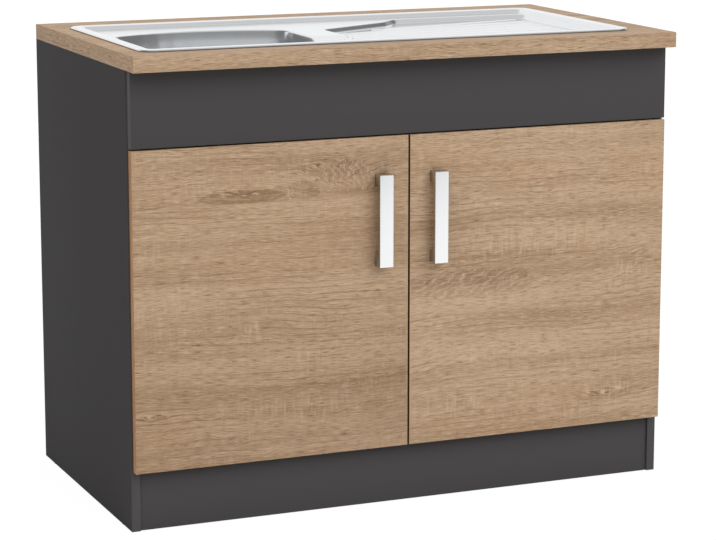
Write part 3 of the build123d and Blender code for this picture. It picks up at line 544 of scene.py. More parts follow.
LEFT_OAK = OakLaminate(
    "oak_left_door", 3.7, (-0.5215, -0.0015), (0.579 - SEAM_OFFSET,),
    figures=(
        Figure(Place(-0.318, 0.592, 0.082, 0.0120), 0.012, 0.60),
        Figure(Place(-0.229, 0.594, 0.008, 0.012), 0.0, 0.0, 0.0, (1.0, 0.3), 0.008, 0.0, 0.65),
        Figure(Place(-0.206, 0.604, 0.024, 0.010), -0.008, 0.34, 0.020),
        Figure(Place(-0.190, 0.592, 0.018, 0.008), -0.006, 0.44, 0.010),
        Figure(Place(-0.150, 0.612, 0.060, 0.024), 0.006, 0.10, 0.030),
        Figure(Place(-0.118, 0.620, 0.046, 0.028), 0.004, 0.00, 0.020, (1.0, 0.10), 0.0130, 0.036, 0.56),
        Figure(Place(-0.095, 0.589, 0.050, 0.006), 0.010, 0.34),
        Figure(Place(-0.487, 0.209, 0.026, 0.006), 0.008, 0.40)),
    saw_patches=(Place(-0.215, 0.205, 0.130, 0.026), Place(-0.304, 0.346, 0.036, 0.024),
                 Place(-0.200, 0.290, 0.050, 0.020), Place(-0.480, 0.395, 0.040, 0.020)),
    stain=(0.950, 0.940, 0.925), foot_darkening=(0.930, 0.920, 0.905),
    end_tints=((-0.5215, (1.10, 0.86, 0.66)), (-0.0015, MEETING_EDGE_SHADE)))

RIGHT_OAK = OakLaminate(
    "oak_right_door", 11.3, (0.0015, 0.5215), (0.431 - SEAM_OFFSET,),
    figures=(
        Figure(Place(0.120, 0.416, 0.120, 0.016), 0.0, 0.34),
        Figure(Place(0.120, 0.404, 0.130, 0.028), 0.0, 0.12, 0.008, (-0.50, 1.0), 0.0120, 0.0, 0.50),
        Figure(Place(0.400, 0.165, 0.060, 0.010), 0.014, 0.20)),
    saw_patches=(Place(0.235, 0.470, 0.150, 0.026), Place(0.115, 0.178, 0.090, 0.016),
                 Place(0.420, 0.180, 0.065, 0.026), Place(0.455, 0.410, 0.050, 0.020)),
    end_tints=((0.0015, MEETING_EDGE_SHADE),))

RECIPES = {
    "oak_top": OakLaminate("oak_worktop", 7.9, (-0.525, 0.525), upright_ends=False),
    "oak_left": LEFT_OAK,
    "oak_right": RIGHT_OAK,
    "graphite": BoardMelamine("graphite_melamine"),
    # The side panels get a painted highlight on their front edge strip
    "graphite_side": BoardMelamine("graphite_side_melamine", band_highlight=1.20),
    # The blind panel gets a painted highlight on its outer ends
    "graphite_front": BoardMelamine("graphite_front_melamine", ends=1.75),
    "hardboard": BoardMelamine("painted_hardboard", (0.105, 0.101, 0.102), 0.68),
    "beech": DowelWood(),
    "sink_steel": Metal("satin_sink_steel", (0.83, 0.845, 0.86), 0.19),
    # The handle's side faces and its top and bottom faces get painted shade
    "handle": Metal("satin_handle", (0.98, 0.985, 0.99), 0.26, (220.0, 220.0, 8.0),
                    painted_shade_flanks=(0.041, 0.067), painted_shade_caps=(0.450, 0.618)),
    "nickel": Metal("nickelled_hinge", (0.60, 0.59, 0.57), 0.30, (90.0, 90.0, 90.0)),
    "zinc": Metal("zinc_plate", (0.52, 0.54, 0.56), 0.38, (70.0, 70.0, 70.0)),
    "white_plastic": Moulding("white_waste_plastic", (0.78, 0.78, 0.76), 0.38),
    "black_plastic": Moulding("black_plastic", (0.028, 0.028, 0.028), 0.42),
    "black_rubber": Moulding("black_rubber", (0.040, 0.040, 0.042), 0.75, 1200.0),
    "buffer": Moulding("clear_buffer", (0.66, 0.66, 0.63), 0.30),
}


def make_finishes() -> dict[str, Material]:
    """Make every finish.

    Returns:
        The materials under their short names.
    """
    made = {}
    for key, recipe in RECIPES.items():
        made[key] = recipe.build()
        LOG.info("finish %s", recipe.name)
    return made


# ---- dressing ----
@dataclass(frozen=True)
class Coat:
    """How a new piece is finished, what body it rides on, and the record's slot for it."""

    finish: str
    body: Body
    slot: str


@dataclass
class Dresser:
    """Dresses the frame's own pieces: some get a finish, some a copy with softened edges."""

    finishes: dict[str, Material]
    smooth_angle: float = math.radians(32)
    bevel_angle: float = math.radians(50)
    flat_angle: float = math.radians(0.5)
    weld: float = 1e-6

    def paint(self, finish: str, *nodes: str) -> None:
        """Give some of the frame's own pieces their finish.

        Args:
            finish: The finish's short name.
            nodes: The pieces' names.
        """
        for node in nodes:
            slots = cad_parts[node].data.materials
            slots.clear()
            slots.append(self.finishes[finish])

    def place(self, name: str, coat: Coat, work: bmesh.types.BMesh | None = None) -> Object:
        """Make an object at the origin with one finish.

        Args:
            name: The object's name.
            coat: How it is finished.
            work: Its mesh in the unit's own frame, which is freed.

        Returns:
            The object.
        """
        mesh = bpy.data.meshes.new(name)
        if work:
            work.to_mesh(mesh)
            work.free()
        mesh.materials.append(self.finishes[coat.finish])
        piece = bpy.data.objects.new(name, mesh)
        bpy.context.scene.collection.objects.link(piece)
        return piece

    def hand_over(self, piece: Object, coat: Coat, *replaced: str) -> None:
        """Make a piece's modifiers its plain mesh, smooth but for sharp edges, and tell the frame.

        Args:
            piece: The piece.
            coat: How it is finished.
            replaced: The frame's pieces that it stands for.
        """
        view = bpy.context.evaluated_depsgraph_get()
        plain = bpy.data.meshes.new_from_object(piece.evaluated_get(view))
        old = piece.data
        piece.modifiers.clear()
        piece.data = plain
        bpy.data.meshes.remove(old)
        plain.name = piece.name
        plain.shade_smooth()
        plain.set_sharp_from_angle(angle=self.smooth_angle)
        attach(piece, coat.body.value)
        for node in replaced:
            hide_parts(node)
        LOG.info("piece %s", piece.name)

    def soften(self, node: str, coat: Coat, edge: float) -> None:
        """Stand a copy with softened edges in a frame piece's place.

        Args:
            node: The piece that the copy replaces.
            coat: How it is finished.
            edge: The edge radius in metres.
        """
        work = bmesh.new()
        work.from_mesh(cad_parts[node].data)
        bmesh.ops.remove_doubles(work, verts=work.verts, dist=self.weld)
        bmesh.ops.dissolve_limit(work, angle_limit=self.flat_angle, verts=work.verts, edges=work.edges)
        piece = self.place(f"{node}_made", coat, work)
        bevel = piece.modifiers.new("soft_edges", "BEVEL")
        bevel.width = edge
        bevel.segments = 2
        bevel.limit_method = "ANGLE"
        bevel.angle_limit = self.bevel_angle
        bevel.use_clamp_overlap = True
        self.hand_over(piece, coat, node)


@dataclass(frozen=True)
class EdgeBand:
    """A thin strip glued round a board, with rounded outer edges: all in metres."""

    dresser: Dresser
    board: str
    strip: str
    through: int
    open_back: bool = False
    radius: float = 0.0006

    def stations(self, low: Vector, high: Vector) -> Walk:
        """The outer corners between two, with the direction that leads in from each.

        Args:
            low: The strip's lowest corner.
            high: The strip's highest corner.

        Returns:
            Corners and inward directions on the board's plane.
        """
        other = 3 - self.through
        corners = [Vector((x, z)) for x, z in ((low.x, low[other]), (high.x, low[other]),
                                               (high.x, high[other]), (low.x, high[other]))]
        inward = [Vector(way) for way in ((1, 1), (-1, 1), (-1, -1), (1, -1))]
        if self.open_back:
            corners = corners[3:] + corners[:3]
            inward = [Vector((1, 0)), inward[0], inward[1], Vector((-1, 0))]
        return list(zip(corners, inward))

    def build(self, coat: Coat) -> None:
        """Make the strip in place of the frame's own, from a section of insets with depths.

        Args:
            coat: How it is finished.
        """
        low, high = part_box(self.strip)
        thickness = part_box(self.board)[0].x - low.x
        bottom, top, r = low[self.through], high[self.through], self.radius
        bends = [math.radians(angle) for angle in (0, 30, 60, 90)]
        section = [(thickness, bottom)]
        section += [(r * (1 - math.sin(a)), bottom + r * (1 - math.cos(a))) for a in bends]
        section += [(r * (1 - math.cos(a)), top - r * (1 - math.sin(a))) for a in bends] + [(thickness, top)]
        work = bmesh.new()
        rows = []
        for corner, inward in self.stations(low, high):
            flats = [(corner + inward * inset, depth) for inset, depth in section]
            rows.append([work.verts.new((flat.x, depth, flat.y) if self.through == 1 else (*flat, depth))
                         for flat, depth in flats])
        for here, after in zip(rows, rows[1:] if self.open_back else rows[1:] + rows[:1]):
            for k in range(len(section)):
                n = (k + 1) % len(section)
                work.faces.new((here[k], here[n], after[n], after[k]))
        if self.open_back:
            work.faces.new(rows[0])
            work.faces.new(rows[-1][::-1])
        bmesh.ops.recalc_face_normals(work, faces=work.faces)
        self.dresser.hand_over(self.dresser.place(f"{self.strip}_made", coat, work), coat, self.strip)


# ---- carcass and doors ----
@dataclass
class Carcass:
    """The boards, the fixed front, the worktop and the fittings that hold them."""

    dresser: Dresser
    edge: float = 0.0007
    worktop_edge: float = 0.00021
    boards: tuple[tuple[str, str], ...] = (
        ("left_side_panel", "graphite_side"), ("right_side_panel", "graphite_side"),
        ("bottom_panel", "graphite"), ("front_rail", "graphite"), ("rear_rail", "graphite"),
        ("plinth_board", "graphite"), ("blind_front_panel", "graphite_front"))

    def build(self) -> None:
        """Dress the carcass."""
        for board, finish in self.boards:
            self.dresser.soften(board, Coat(finish, Body.CARCASS, "graphite_board"), self.edge)
        oak = Coat("oak_top", Body.CARCASS, "oak_board")
        self.dresser.soften("worktop", oak, self.worktop_edge)
        EdgeBand(self.dresser, "worktop", "worktop_edging", 2, open_back=True).build(oak)
        self.dresser.paint("hardboard", "back_panel")
        self.dresser.paint("beech", "wooden_dowels")
        self.dresser.paint("black_plastic", "floor_glides")
        self.dresser.paint("zinc", "cam_locks", "cam_bolts", "plinth_brackets", "worktop_brackets",
                           "bracket_screws", "blind_front_screws")


@dataclass
class Door:
    """One door with its handle, buffers and concealed hinges."""

    dresser: Dresser
    hand: Hand
    edge: float = 0.00025
    handle_edge: float = 0.0009
    zinc: tuple[str, ...] = ("handle_screws", "hinge_plate_screws", "hinge_cup_screws")
    nickelled: tuple[str, ...] = ("plates", "arms", "arm_pins", "links", "cups", "cup_pins")

    def build(self) -> None:
        """Dress the door and its hinges."""
        side, panel = self.hand.value, f"{self.hand.value}_door_panel"
        oak = Coat(f"oak_{side}", self.hand.door, "oak_board")
        metal = Coat("handle", self.hand.door, "handle_metal")
        self.dresser.soften(panel, oak, self.edge)
        EdgeBand(self.dresser, panel, f"{side}_door_edging", 1).build(oak)
        self.dresser.soften(f"{side}_handle", metal, self.handle_edge)
        self.dresser.paint("buffer", f"{side}_door_buffers")
        self.dresser.paint("zinc", *(f"{side}_{part}" for part in self.zinc))
        self.dresser.paint("nickel", *(f"{side}_hinge_{part}" for part in self.nickelled))


# ---- sink ----
@dataclass(frozen=True)
class Outline:
    """A closed outline as corners with radii: all in metres."""

    corners: tuple[Point, ...]
    radii: tuple[float, ...]
    step: float = 0.004

    def places(self) -> list[Vector]:
        """Places on the outline, anticlockwise, about a step apart.

        Returns:
            The places.
        """
        found, bends, count = [], [], len(self.corners)
        for i in range(count):
            before, here, after = (Vector(self.corners[(i + k) % count]) for k in (-1, 0, 1))
            into, out = (here - before).normalized(), (after - here).normalized()
            turn = math.atan2(into.x * out.y - into.y * out.x, into.dot(out))
            cut = self.radii[i] * math.tan(abs(turn) / 2)
            bends.append((here - into * cut, here + out * cut, into, turn, self.radii[i]))
        for i, (start, stop, into, turn, radius) in enumerate(bends):
            left = Vector((-into.y, into.x)) * (1.0 if turn > 0 else -1.0)
            centre = start + left * radius
            pieces = max(3, round(abs(turn) * radius / self.step))
            for k in range(pieces + 1):
                spoke = start - centre
                spoke.rotate(Matrix.Rotation(turn * k / pieces, 2))
                found.append(centre + spoke)
            run = bends[(i + 1) % count][0] - stop
            steps = max(1, round(run.length / self.step))
            found += [stop + run * (k / steps) for k in range(1, steps)]
        return found

    def walk(self, count: int) -> Walk:
        """Walk the outline at a set count of even steps.

        Args:
            count: How many places.

        Returns:
            Places with their outward directions.
        """
        places, lengths = self.places(), [0.0]
        for here, after in zip(places, places[1:] + places[:1]):
            lengths.append(lengths[-1] + (after - here).length)
        even, k = [], 0
        for i in range(count):
            want = lengths[-1] * i / count
            while lengths[k + 1] < want:
                k += 1
            span = max(lengths[k + 1] - lengths[k], 1e-9)
            even.append(places[k].lerp(places[(k + 1) % len(places)], (want - lengths[k]) / span))
        runs = [even[(i + 1) % count] - even[i - 1] for i in range(count)]
        return [(place, Vector((run.y, -run.x)).normalized()) for place, run in zip(even, runs)]


@dataclass
class Sink:
    """The one-piece steel sink: bead, deck, bowl, drainer tray, channel and ribs.

    Places inside the sink are measured from its front left corner.
    """

    dresser: Dresser
    steel: Coat = Coat("sink_steel", Body.CARCASS, "sink_steel")
    corner: float = 0.028
    sheet: float = 0.0008
    least_corner: float = 0.009
    corner_steps: int = 8
    long_steps: int = 150
    short_steps: int = 75
    bead_edge: float = 0.0024
    bead_height: float = 0.003
    bead_slope: tuple[Point, ...] = (
        (0.010, 0.0), (0.0165, 0.0), (0.0185, 0.0002), (0.0202, 0.0007), (0.0217, 0.0014), (0.0230, 0.0024),
        (0.0242, 0.0040), (0.0252, 0.0054), (0.0262, 0.0064), (0.0272, 0.0069), (0.0280, 0.0070))
    deck_drop: float = 0.007
    lip: float = 0.0035
    bowl_left: float = 0.038
    bowl_front: float = 0.041
    bowl_length: float = 0.340
    bowl_side: float = 0.247
    bowl_arch: float = 0.046
    bowl_corner: float = 0.045
    back_corner: float = 0.036
    arch_corner: float = 0.020
    bowl_depth: float = 0.140
    bowl_foot: float = 0.028
    bowl_draft: float = math.radians(4)
    bowl_places: int = 168
    arch_steps: int = 10
    drain_radius: float = 0.045
    tray_left: float = 0.444
    tray_right: float = 0.922
    tray_front: float = 0.034
    tray_back: float = 0.389
    tray_throat: float = 0.270
    knee: Point = (0.602, 0.350)
    shoulder: float = 0.639
    tray_corner: float = 0.016
    tray_depth: float = 0.009
    tray_draft: float = math.radians(30)
    tray_foot: float = 0.003
    tray_lip: float = 0.0018
    tray_places: int = 200
    channel_middle: float = 0.109
    channel_half: float = 0.045
    channel_depth: float = 0.005
    fill_step: float = 0.009
    least_area: float = 1e-9
    rib_count: int = 9
    rib_height: float = 0.0012
    rib_width: float = 0.0115

    def __post_init__(self) -> None:
        """Read the sink's place from the frame."""
        self.low, self.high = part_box("sink_pressing")
        self.top = self.high.z
        self.deck = self.top - self.deck_drop
        self.length, self.width = self.high.x - self.low.x, self.high.y - self.low.y
        self.work = bmesh.new()

    def at(self, x: float, y: float) -> Point:
        """A place measured from the sink's front left corner, in the unit's frame."""
        return self.low.x + x, self.low.y + y

    def bridge(self, rings: list[Ring]) -> list[Ring]:
        """Join rings of equal count by strips of faces.

        Args:
            rings: The rings, from the outside in.

        Returns:
            The same rings.
        """
        for outer, inner in zip(rings, rings[1:]):
            for i in range(len(outer)):
                k = (i + 1) % len(outer)
                self.work.faces.new((outer[i], outer[k], inner[k], inner[i]))
        return rings

    def sweep(self, walked: Walk, profile: list[Point]) -> list[Ring]:
        """Sweep a profile of insets with heights round an outline, from the outside in."""
        return self.bridge([[self.work.verts.new((*(place - out * inset), z)) for place, out in walked]
                            for inset, z in profile])

    def arc(self, centre: Point, radius: float, start: float, stop: float, steps: int) -> list[Point]:
        """Points on an arc, with angles in degrees."""
        turns = [math.radians(start + (stop - start) * i / steps) for i in range(steps + 1)]
        return [(centre[0] + radius * math.cos(turn), centre[1] + radius * math.sin(turn)) for turn in turns]

    def rounded(self, inset: float, z: float) -> Ring:
        """Lay one ring round the sink, whose corners stay round however far in it lies.

        Args:
            inset: How far in from the sink's edge.
            z: The height.

        Returns:
            The ring's points.
        """
        radius = max(self.corner - inset, self.least_corner)
        reach = inset + radius
        centres = ((reach, reach, 180), (self.length - reach, reach, 270),
                   (self.length - reach, self.width - reach, 0), (reach, self.width - reach, 90))
        turns = [self.arc(self.at(x, y), radius, start, start + 90, self.corner_steps)
                 for x, y, start in centres]
        places, sides = [], (self.long_steps, self.short_steps) * 2
        for turn, following, steps in zip(turns, turns[1:] + turns[:1], sides):
            here, after = Vector(turn[-1]), Vector(following[0])
            places += turn + [tuple(here.lerp(after, k / steps)) for k in range(1, steps)]
        return [self.work.verts.new((x, y, z)) for x, y in places]

    def rim(self) -> Ring:
        """The raised bead round the sink, which slopes down to the deck.

        Returns:
            The ring where the bead meets the deck.
        """
        edge = self.bead_edge
        profile = [(0.0, self.top - self.bead_height)]
        profile += self.arc((edge, self.top - edge), edge, 180, 90, 5)
        profile += [(inset, self.top - drop) for inset, drop in self.bead_slope]
        return self.bridge([self.rounded(inset, z) for inset, z in profile])[-1]

    def bowl_walk(self) -> Walk:
        """Walk the bowl's mouth, whose back is an arch.

        Returns:
            Places with their outward directions.
        """
        x0, y0 = self.at(self.bowl_left, self.bowl_front)
        x1, y1 = x0 + self.bowl_length, y0 + self.bowl_side
        half, sag = self.bowl_length / 2, self.bowl_arch
        radius = (half * half + sag * sag) / (2 * sag)
        centre = Vector(((x0 + x1) / 2, y1 + sag - radius))
        reach = math.asin(half / radius)
        angles = [math.pi / 2 - reach + 2 * reach * k / self.arch_steps for k in range(self.arch_steps + 1)]
        crown = [(centre.x + radius * math.cos(a), centre.y + radius * math.sin(a)) for a in angles]
        arch = (self.back_corner, *([self.arch_corner] * (self.arch_steps - 1)), self.back_corner)
        radii = (self.bowl_corner, self.bowl_corner, *arch)
        return Outline(((x0, y0), (x1, y0), *crown), radii).walk(self.bowl_places)

    def bowl(self) -> Ring:
        """The bowl, from its rolled lip down to the hole for the waste.

        Returns:
            The flat ring round the bowl's lip.
        """
        floor = self.deck - self.bowl_depth
        wall_foot = self.bowl_foot * (1 - math.sin(self.bowl_draft))
        lip = self.lip
        profile = [(-lip - 0.001, self.deck), (-lip, self.deck), (-lip * 0.62, self.deck - lip * 0.08),
                   (-lip * 0.29, self.deck - lip * 0.29), (-lip * 0.08, self.deck - lip * 0.62),
                   (0.0, self.deck - lip)]
        for share in (0.15, 0.35, 0.6, 0.85, 1.0):
            z = self.deck - lip - (self.bowl_depth - lip - wall_foot) * share
            profile.append(((self.deck - z) * math.tan(self.bowl_draft), z))
        inset = profile[-1][0]
        for angle in (15, 30, 45, 60, 75, 86):
            turn = math.radians(angle)
            profile.append((inset + self.bowl_foot * (1 - math.cos(turn)),
                            floor + self.bowl_foot * (1 - math.sin(turn))))
        rings = self.sweep(self.bowl_walk(), profile)
        low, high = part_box("waste_flange")
        middle = Vector(((low.x + high.x) / 2, (low.y + high.y) / 2))
        flats = [vert.co.xy for vert in rings[-1]]
        holes = [middle + (flat - middle).normalized() * self.drain_radius for flat in flats]
        inward = [rings[-1]]
        for share in (0.12, 0.35, 0.6, 0.82, 1.0):
            height = floor + (rings[-1][0].co.z - floor) * (1 - share) ** 3
            spots = (flat.lerp(hole, share) for flat, hole in zip(flats, holes))
            inward.append([self.work.verts.new((*spot, height)) for spot in spots])
        self.bridge(inward)
        return rings[0]

    def tray(self) -> Ring:
        """The drainer tray, pressed into the deck, with a long slope at its slanting side.

        Returns:
            The flat ring round the tray's lip.
        """
        places = ((self.tray_left, self.tray_front), (self.tray_right, self.tray_front),
                  (self.tray_right, self.tray_back), (self.shoulder, self.tray_back),
                  self.knee, (self.tray_left, self.tray_throat))
        outline = Outline(tuple(self.at(x, y) for x, y in places), (self.tray_corner,) * len(places))
        floor, lip, foot = self.deck - self.tray_depth, self.tray_lip, self.tray_foot
        run = self.tray_depth * math.tan(self.tray_draft)
        profile = [(-lip - 0.002, self.deck), (-lip, self.deck), (-lip * 0.3, self.deck - lip * 0.12),
                   (lip * 0.4, self.deck - lip * 0.55), (run * 0.5, self.deck - self.tray_depth * 0.5),
                   (run, floor + foot * 0.45), (run + foot * 0.45, floor + foot * 0.12),
                   (run + foot, floor), (run + foot + 0.002, floor)]
        rings = self.sweep(outline.walk(self.tray_places), profile)
        self.fill([rings[-1]], floor)
        return rings[0]

    def fill(self, rings: list[Ring], z: float) -> None:
        """Fill a flat stretch between rings with evenly spread faces.

        Args:
            rings: The outer ring first, and then the rings of the holes.
            z: The height.
        """
        verts = [vert for ring in rings for vert in ring]
        loops = [[vert.co.xy for vert in ring] for ring in rings]
        places = [place for loop in loops for place in loop]
        edges, start = [], 0
        for ring in rings:
            edges += [(start + i, start + (i + 1) % len(ring)) for i in range(len(ring))]
            start += len(ring)
        xs, ys = [p.x for p in loops[0]], [p.y for p in loops[0]]
        nx, ny = (int((max(axis) - min(axis)) / self.fill_step) for axis in (xs, ys))
        spread = [Vector((min(xs) + i * self.fill_step, min(ys) + k * self.fill_step))
                  for i in range(1, nx) for k in range(1, ny)]
        places += [spot for spot in spread if self.within(spot, loops) and self.clear(spot, loops)]
        spots, _, faces, origin, _, _ = delaunay_2d_cdt(places, edges, [], 0, 1e-7)
        made = []
        for spot, from_where in zip(spots, origin):
            known = [index for index in from_where if index < len(verts)]
            made.append(verts[known[0]] if known else self.work.verts.new((spot.x, spot.y, z)))
        for face in faces:
            centre = sum((spots[i] for i in face), Vector((0, 0))) / len(face)
            a, b, c = (spots[i] for i in face[:3])
            if self.within(centre, loops) and abs((b - a).cross(c - a)) > self.least_area:
                self.work.faces.new([made[i] for i in face])

    def inside(self, spot: Vector, loop: list[Vector]) -> bool:
        """Whether a line to the right of a place meets a closed loop an odd number of times."""
        crossed = [(a, b) for a, b in zip(loop, loop[1:] + loop[:1]) if (a.y > spot.y) != (b.y > spot.y)]
        return sum(spot.x < (b.x - a.x) * (spot.y - a.y) / (b.y - a.y) + a.x for a, b in crossed) % 2 == 1

    def within(self, spot: Vector, loops: list[list[Vector]]) -> bool:
        """Whether a place lies in the first loop and outside the others."""
        return self.inside(spot, loops[0]) and not any(self.inside(spot, hole) for hole in loops[1:])

    def clear(self, spot: Vector, loops: list[list[Vector]]) -> bool:
        """Whether a place is clear of every loop's own places."""
        near = self.fill_step * 0.55
        return all((spot - place).length > near for loop in loops for place in loop)

    def press_channel(self) -> None:
        """Press the shallow channel that leads from the tray over the land into the bowl."""
        left = self.low.x + self.bowl_left + self.bowl_length - 0.02
        right = self.low.x + self.tray_left + 0.02
        middle, bottom = self.low.y + self.channel_middle, self.deck - 2 * self.channel_depth
        for vert in self.work.verts:
            off = abs(vert.co.y - middle) / self.channel_half
            if left < vert.co.x < right and vert.co.z >= self.deck - self.channel_depth * 2 and off < 1.25:
                share = 1.0 if off < 0.7 else 0.5 + 0.5 * math.cos(math.pi * (off - 0.7) / 0.55)
                keep = max(0.0, min(1.0, (vert.co.z - bottom) / (2 * self.channel_depth)))
                vert.co.z -= self.channel_depth * share * keep

    def build(self) -> None:
        """Make the sink and its ribs."""
        rings = [self.rim(), self.bowl(), self.tray()]
        self.fill(rings, self.deck)
        self.press_channel()
        bmesh.ops.recalc_face_normals(self.work, faces=self.work.faces)
        if sum(face.normal.z * face.calc_area() for face in self.work.faces) < 0:
            bmesh.ops.reverse_faces(self.work, faces=self.work.faces)
        piece = self.dresser.place("sink_body", self.steel, self.work)
        wall = piece.modifiers.new("sheet", "SOLIDIFY")
        wall.thickness = self.sheet
        wall.offset = -1.0
        self.dresser.hand_over(piece, self.steel, "sink_pressing")
        self.ribs()
        self.dresser.paint("black_rubber", "sink_seal")
        self.dresser.paint("zinc", "sink_clips", "sink_clip_screws")

    def ribs(self) -> None:
        """The drainer's ribs, which fan out to the right over the tray's floor."""
        left, front = self.at(self.tray_left, self.tray_front)
        slope = (self.knee[1] - self.tray_throat) / (self.knee[0] - self.tray_left)
        fan = RibFan(count=self.rib_count, left=left + 0.022, right=self.low.x + self.tray_right - 0.024,
                     first=front + 0.038, pitch_left=0.026, pitch_right=0.038, bend_x=left,
                     bend_y=self.low.y + self.tray_throat - 0.026, bend_slope=slope,
                     floor=self.deck - self.tray_depth, width=self.rib_width, height=self.rib_height)
        fan.build(self.dresser, "drainer_ribs", self.steel)


# ---- repeated pieces ----
class RibFan(Net):
    """Ribs that fan out over a floor and stop short of a slanting wall, as a Geometry Nodes tree."""

    def __init__(self, **sizes: float) -> None:
        """Start the tree with a geometry output and an input for each size.

        Args:
            sizes: The inputs' values by name; a whole number makes a whole-number input.
        """
        super().__init__(bpy.data.node_groups.new("rib_fan", "GeometryNodeTree"))
        self.tree.interface.new_socket("Geometry", in_out="OUTPUT", socket_type="NodeSocketGeometry")
        self.sizes = sizes
        for key, value in sizes.items():
            kind = "NodeSocketInt" if isinstance(value, int) else "NodeSocketFloat"
            self.tree.interface.new_socket(key, in_out="INPUT", socket_type=kind)
        self.inlet = self.add("NodeGroupInput")

    def __getitem__(self, name: str) -> Num:
        """The value of a named input."""
        return Num(self, self.inlet.outputs[name])

    def even_line(self, start: float, count: int) -> Num:
        """An even line along X from a start to one, of a set count of places."""
        line = self.out("GeometryNodeCurvePrimitiveLine", 0, {"Start": (start, 0, 0), "End": (1, 0, 0)})
        return self.out("GeometryNodeResampleCurve", 0, {"Curve": line, "Count": count})

    def section(self) -> Num:
        """A rib's section: a soft wave on a flat base.

        Returns:
            The section's curve.
        """
        x = self.split(self.out("GeometryNodeInputPosition", 0))[0]
        lift = ((x * math.pi).op("COSINE") + 0.9) * self["height"] * -0.526
        fed = {"Geometry": self.even_line(-1.0, 13), "Position": self.join(x * (self["width"] * 0.5), lift)}
        shaped = self.out("GeometryNodeSetPosition", 0, fed)
        return self.out("GeometryNodeSetSplineCyclic", 0, {"Geometry": shaped, "Cyclic": True})

    def build(self, dresser: Dresser, name: str, coat: Coat, rings: int = 22) -> None:
        """Grow the ribs as one piece.

        Args:
            dresser: The dresser that places the piece.
            name: The piece's name.
            coat: How it is finished.
            rings: The places along each rib.
        """
        fed = {"Geometry": self.even_line(0.0, rings), "Amount": self["count"]}
        several = self.add("GeometryNodeDuplicateElements", fed, domain="SPLINE")
        kept = self.add("GeometryNodeCaptureAttribute", {"Geometry": several.outputs["Geometry"]})
        kept.capture_items.new("FLOAT", "number")
        self.feed(kept.inputs["number"], several.outputs["Duplicate Index"])
        number = Num(self, kept.outputs["number"])
        along = self.out("GeometryNodeSplineParameter", "Factor")
        y_left = self["first"] + number * self["pitch_left"]
        y_right = self["first"] + number * self["pitch_right"]
        span, climb = self["right"] - self["left"], y_right - y_left
        wall = self["bend_y"] + self["bend_slope"] * (self["left"] - self["bend_x"])
        start = ((y_left - wall) / (self["bend_slope"] * span - climb)).op("MAXIMUM", 0.0)
        share = start + (1.0 - start) * along
        place = self.join(self["left"] + span * share, y_left + climb * share, self["floor"])
        fed = {"Geometry": kept.outputs["Geometry"], "Position": place}
        spread = self.out("GeometryNodeSetPosition", 0, fed)
        centred = (along * 2.0 - 1.0).op("ABSOLUTE")
        taper = (1.0 - centred.op("POWER", 14.0)).op("POWER", 0.5).op("MAXIMUM", 0.02)
        sized = self.out("GeometryNodeSetCurveRadius", 0, {"Curve": spread, "Radius": taper})
        fed = {"Curve": sized, "Profile Curve": self.section(), "Fill Caps": True}
        swept = self.out("GeometryNodeCurveToMesh", "Mesh", fed)
        real = self.out("GeometryNodeRealizeInstances", 0, {"Geometry": swept})
        fed = {"Geometry": real, "Material": dresser.finishes[coat.finish]}
        self.add("NodeGroupOutput", {"Geometry": self.out("GeometryNodeSetMaterial", 0, fed)})
        piece = dresser.place(name, coat)
        grower = piece.modifiers.new("grow", "NODES")
        grower.node_group = self.tree
        for item in self.tree.interface.items_tree:
            if item.item_type == "SOCKET" and item.in_out == "INPUT":
                grower[item.identifier] = self.sizes[item.name]
        dresser.hand_over(piece, coat)


# ---- waste ----
@dataclass
class Waste:
    """The strainer waste, the bottle trap and the outlet."""

    dresser: Dresser

    def build(self) -> None:
        """Dress the waste."""
        self.dresser.paint("sink_steel", "waste_flange", "strainer_basket")
        self.dresser.paint("white_plastic", "waste_body", "tail_pipe", "slip_nuts", "trap_bottle", "trap_cup",
                           "outlet_nut", "outlet_pipe")
        self.dresser.paint("black_plastic", "strainer_knob")
        self.dresser.paint("black_rubber", "waste_gaskets")
        self.dresser.paint("zinc", "waste_screw")


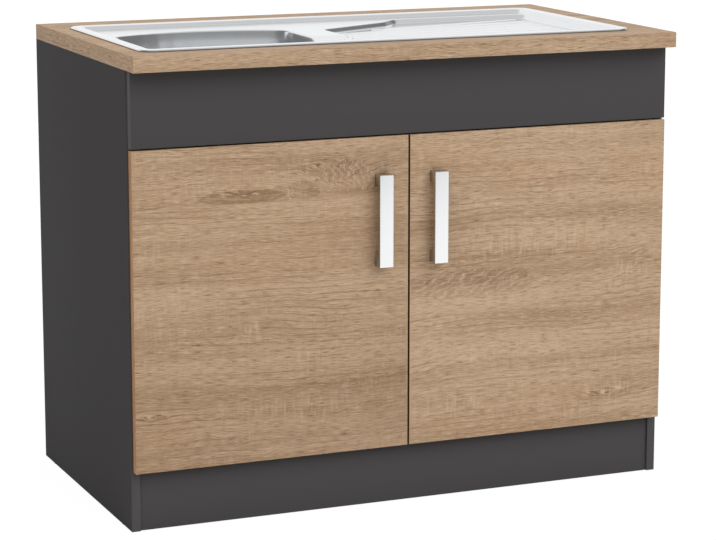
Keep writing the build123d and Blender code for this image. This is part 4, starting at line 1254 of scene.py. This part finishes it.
# ---- studio ----
@dataclass
class Studio:
    """The camera, the lamps and the white floor."""

    place: tuple[float, float, float] = (-1.8285, -4.3815, 1.3380)
    turn: float = 0.3980
    tilt: float = 0.1863
    lens: float = 127.6
    drop: float = -0.04
    sky: float = 0.64
    key: float = 1.40
    key_from: tuple[float, float, float] = (0.30, -0.66, 0.69)
    key_spread: float = math.radians(48)
    room: float = 0.33
    dim_side: float = 0.20
    ceiling: float = 0.70
    floor_half: float = 14.0
    paper_tone: Colour = (0.78, 0.78, 0.78)
    paper: float = 0.86
    paper_glow: float = 1.10

    def build(self) -> None:
        """Set up the whole studio."""
        bpy.context.scene.view_settings.view_transform = "Standard"
        self.camera()
        self.lamp()
        self.mirrored_room()
        self.floor()

    def camera(self) -> None:
        """Place the camera at the photograph's viewing angle."""
        data = bpy.data.cameras.new("camera")
        data.lens = self.lens
        data.sensor_width = 36.0
        data.shift_y = self.drop
        data.clip_start, data.clip_end = 0.1, 60.0
        camera = bpy.data.objects.new("camera", data)
        camera.location = self.place
        camera.rotation_euler = (math.pi / 2 - self.tilt, 0.0, -self.turn)
        bpy.context.scene.collection.objects.link(camera)
        bpy.context.scene.camera = camera

    def lamp(self) -> None:
        """Light the unit with one soft sun from the front right."""
        sun = bpy.data.lights.new("key", "SUN")
        sun.energy = self.key
        sun.angle = self.key_spread
        lamp = bpy.data.objects.new("key", sun)
        lamp.visible_glossy = False
        lamp.rotation_mode = "QUATERNION"
        lamp.rotation_quaternion = Vector(self.key_from).to_track_quat("Z", "Y")
        bpy.context.scene.collection.objects.link(lamp)

    def mirrored_room(self) -> None:
        """Light the unit with an even sky, white to the camera.

        Metal mirrors a room that is white behind the unit, pale at the ceiling and dim at the sides.
        """
        world = bpy.data.worlds.new("sky")
        world.use_nodes = True
        sky = Net(world.node_tree)
        path = sky.add("ShaderNodeLightPath").outputs
        x, y, z = sky.split(sky.out("ShaderNodeTexCoord", "Generated"))
        ceiling = z.step(0.40, 0.66, self.room, self.ceiling)
        open_back = sky.blend(y.step(0.25, 0.65), ceiling, 1.0)
        wall = sky.blend(x.op("ABSOLUTE").step(0.55, 0.80), open_back, self.dim_side)
        horizon = z.step(0.20, 0.34, 1.0, 0.0) * y.step(0.0, 0.30)
        mirrored = sky.math("MAXIMUM", path["Is Glossy Ray"], path["Is Transmission Ray"])
        lit = sky.blend(mirrored, self.sky, wall.op("MAXIMUM", horizon))
        level = sky.blend(path["Is Camera Ray"], lit, 1.0)
        back = sky.out("ShaderNodeBackground", 0, {"Color": WHITE, "Strength": level})
        sky.add("ShaderNodeOutputWorld", {"Surface": back})
        bpy.context.scene.world = world

    def floor(self) -> None:
        """Lay the white floor, which keeps a faint shadow."""
        mesh, half = bpy.data.meshes.new("studio_floor"), self.floor_half
        corners = [(x, y, 0.0) for y in (-half, half) for x in (-half, half)]
        mesh.from_pydata(corners, [], [(0, 1, 3, 2)])
        material = bpy.data.materials.new("studio_paper")
        material.use_nodes = True
        paper = Net(material.node_tree)
        path = paper.add("ShaderNodeLightPath").outputs
        share = paper.math("MAXIMUM", path["Is Camera Ray"], path["Is Glossy Ray"]) * self.paper
        matt = paper.out("ShaderNodeBsdfDiffuse", 0, {"Color": self.paper_tone})
        glow = paper.out("ShaderNodeEmission", 0, {"Strength": self.paper_glow})
        mixed = paper.out("ShaderNodeMixShader", 0, {0: share, 1: matt, 2: glow})
        paper.add("ShaderNodeOutputMaterial", {"Surface": mixed})
        mesh.materials.append(material)
        floor = bpy.data.objects.new("studio_floor", mesh)
        bpy.context.scene.collection.objects.link(floor)


def main() -> None:
    """Build the unit piece by piece."""
    logging.basicConfig(level=logging.INFO, format="%(name)s: %(message)s")
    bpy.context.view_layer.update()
    Studio().build()
    dresser = Dresser(make_finishes())
    Carcass(dresser).build()
    for hand in Hand:
        Door(dresser, hand).build()
    Sink(dresser).build()
    Waste(dresser).build()


if __name__ == "__main__":
    main()
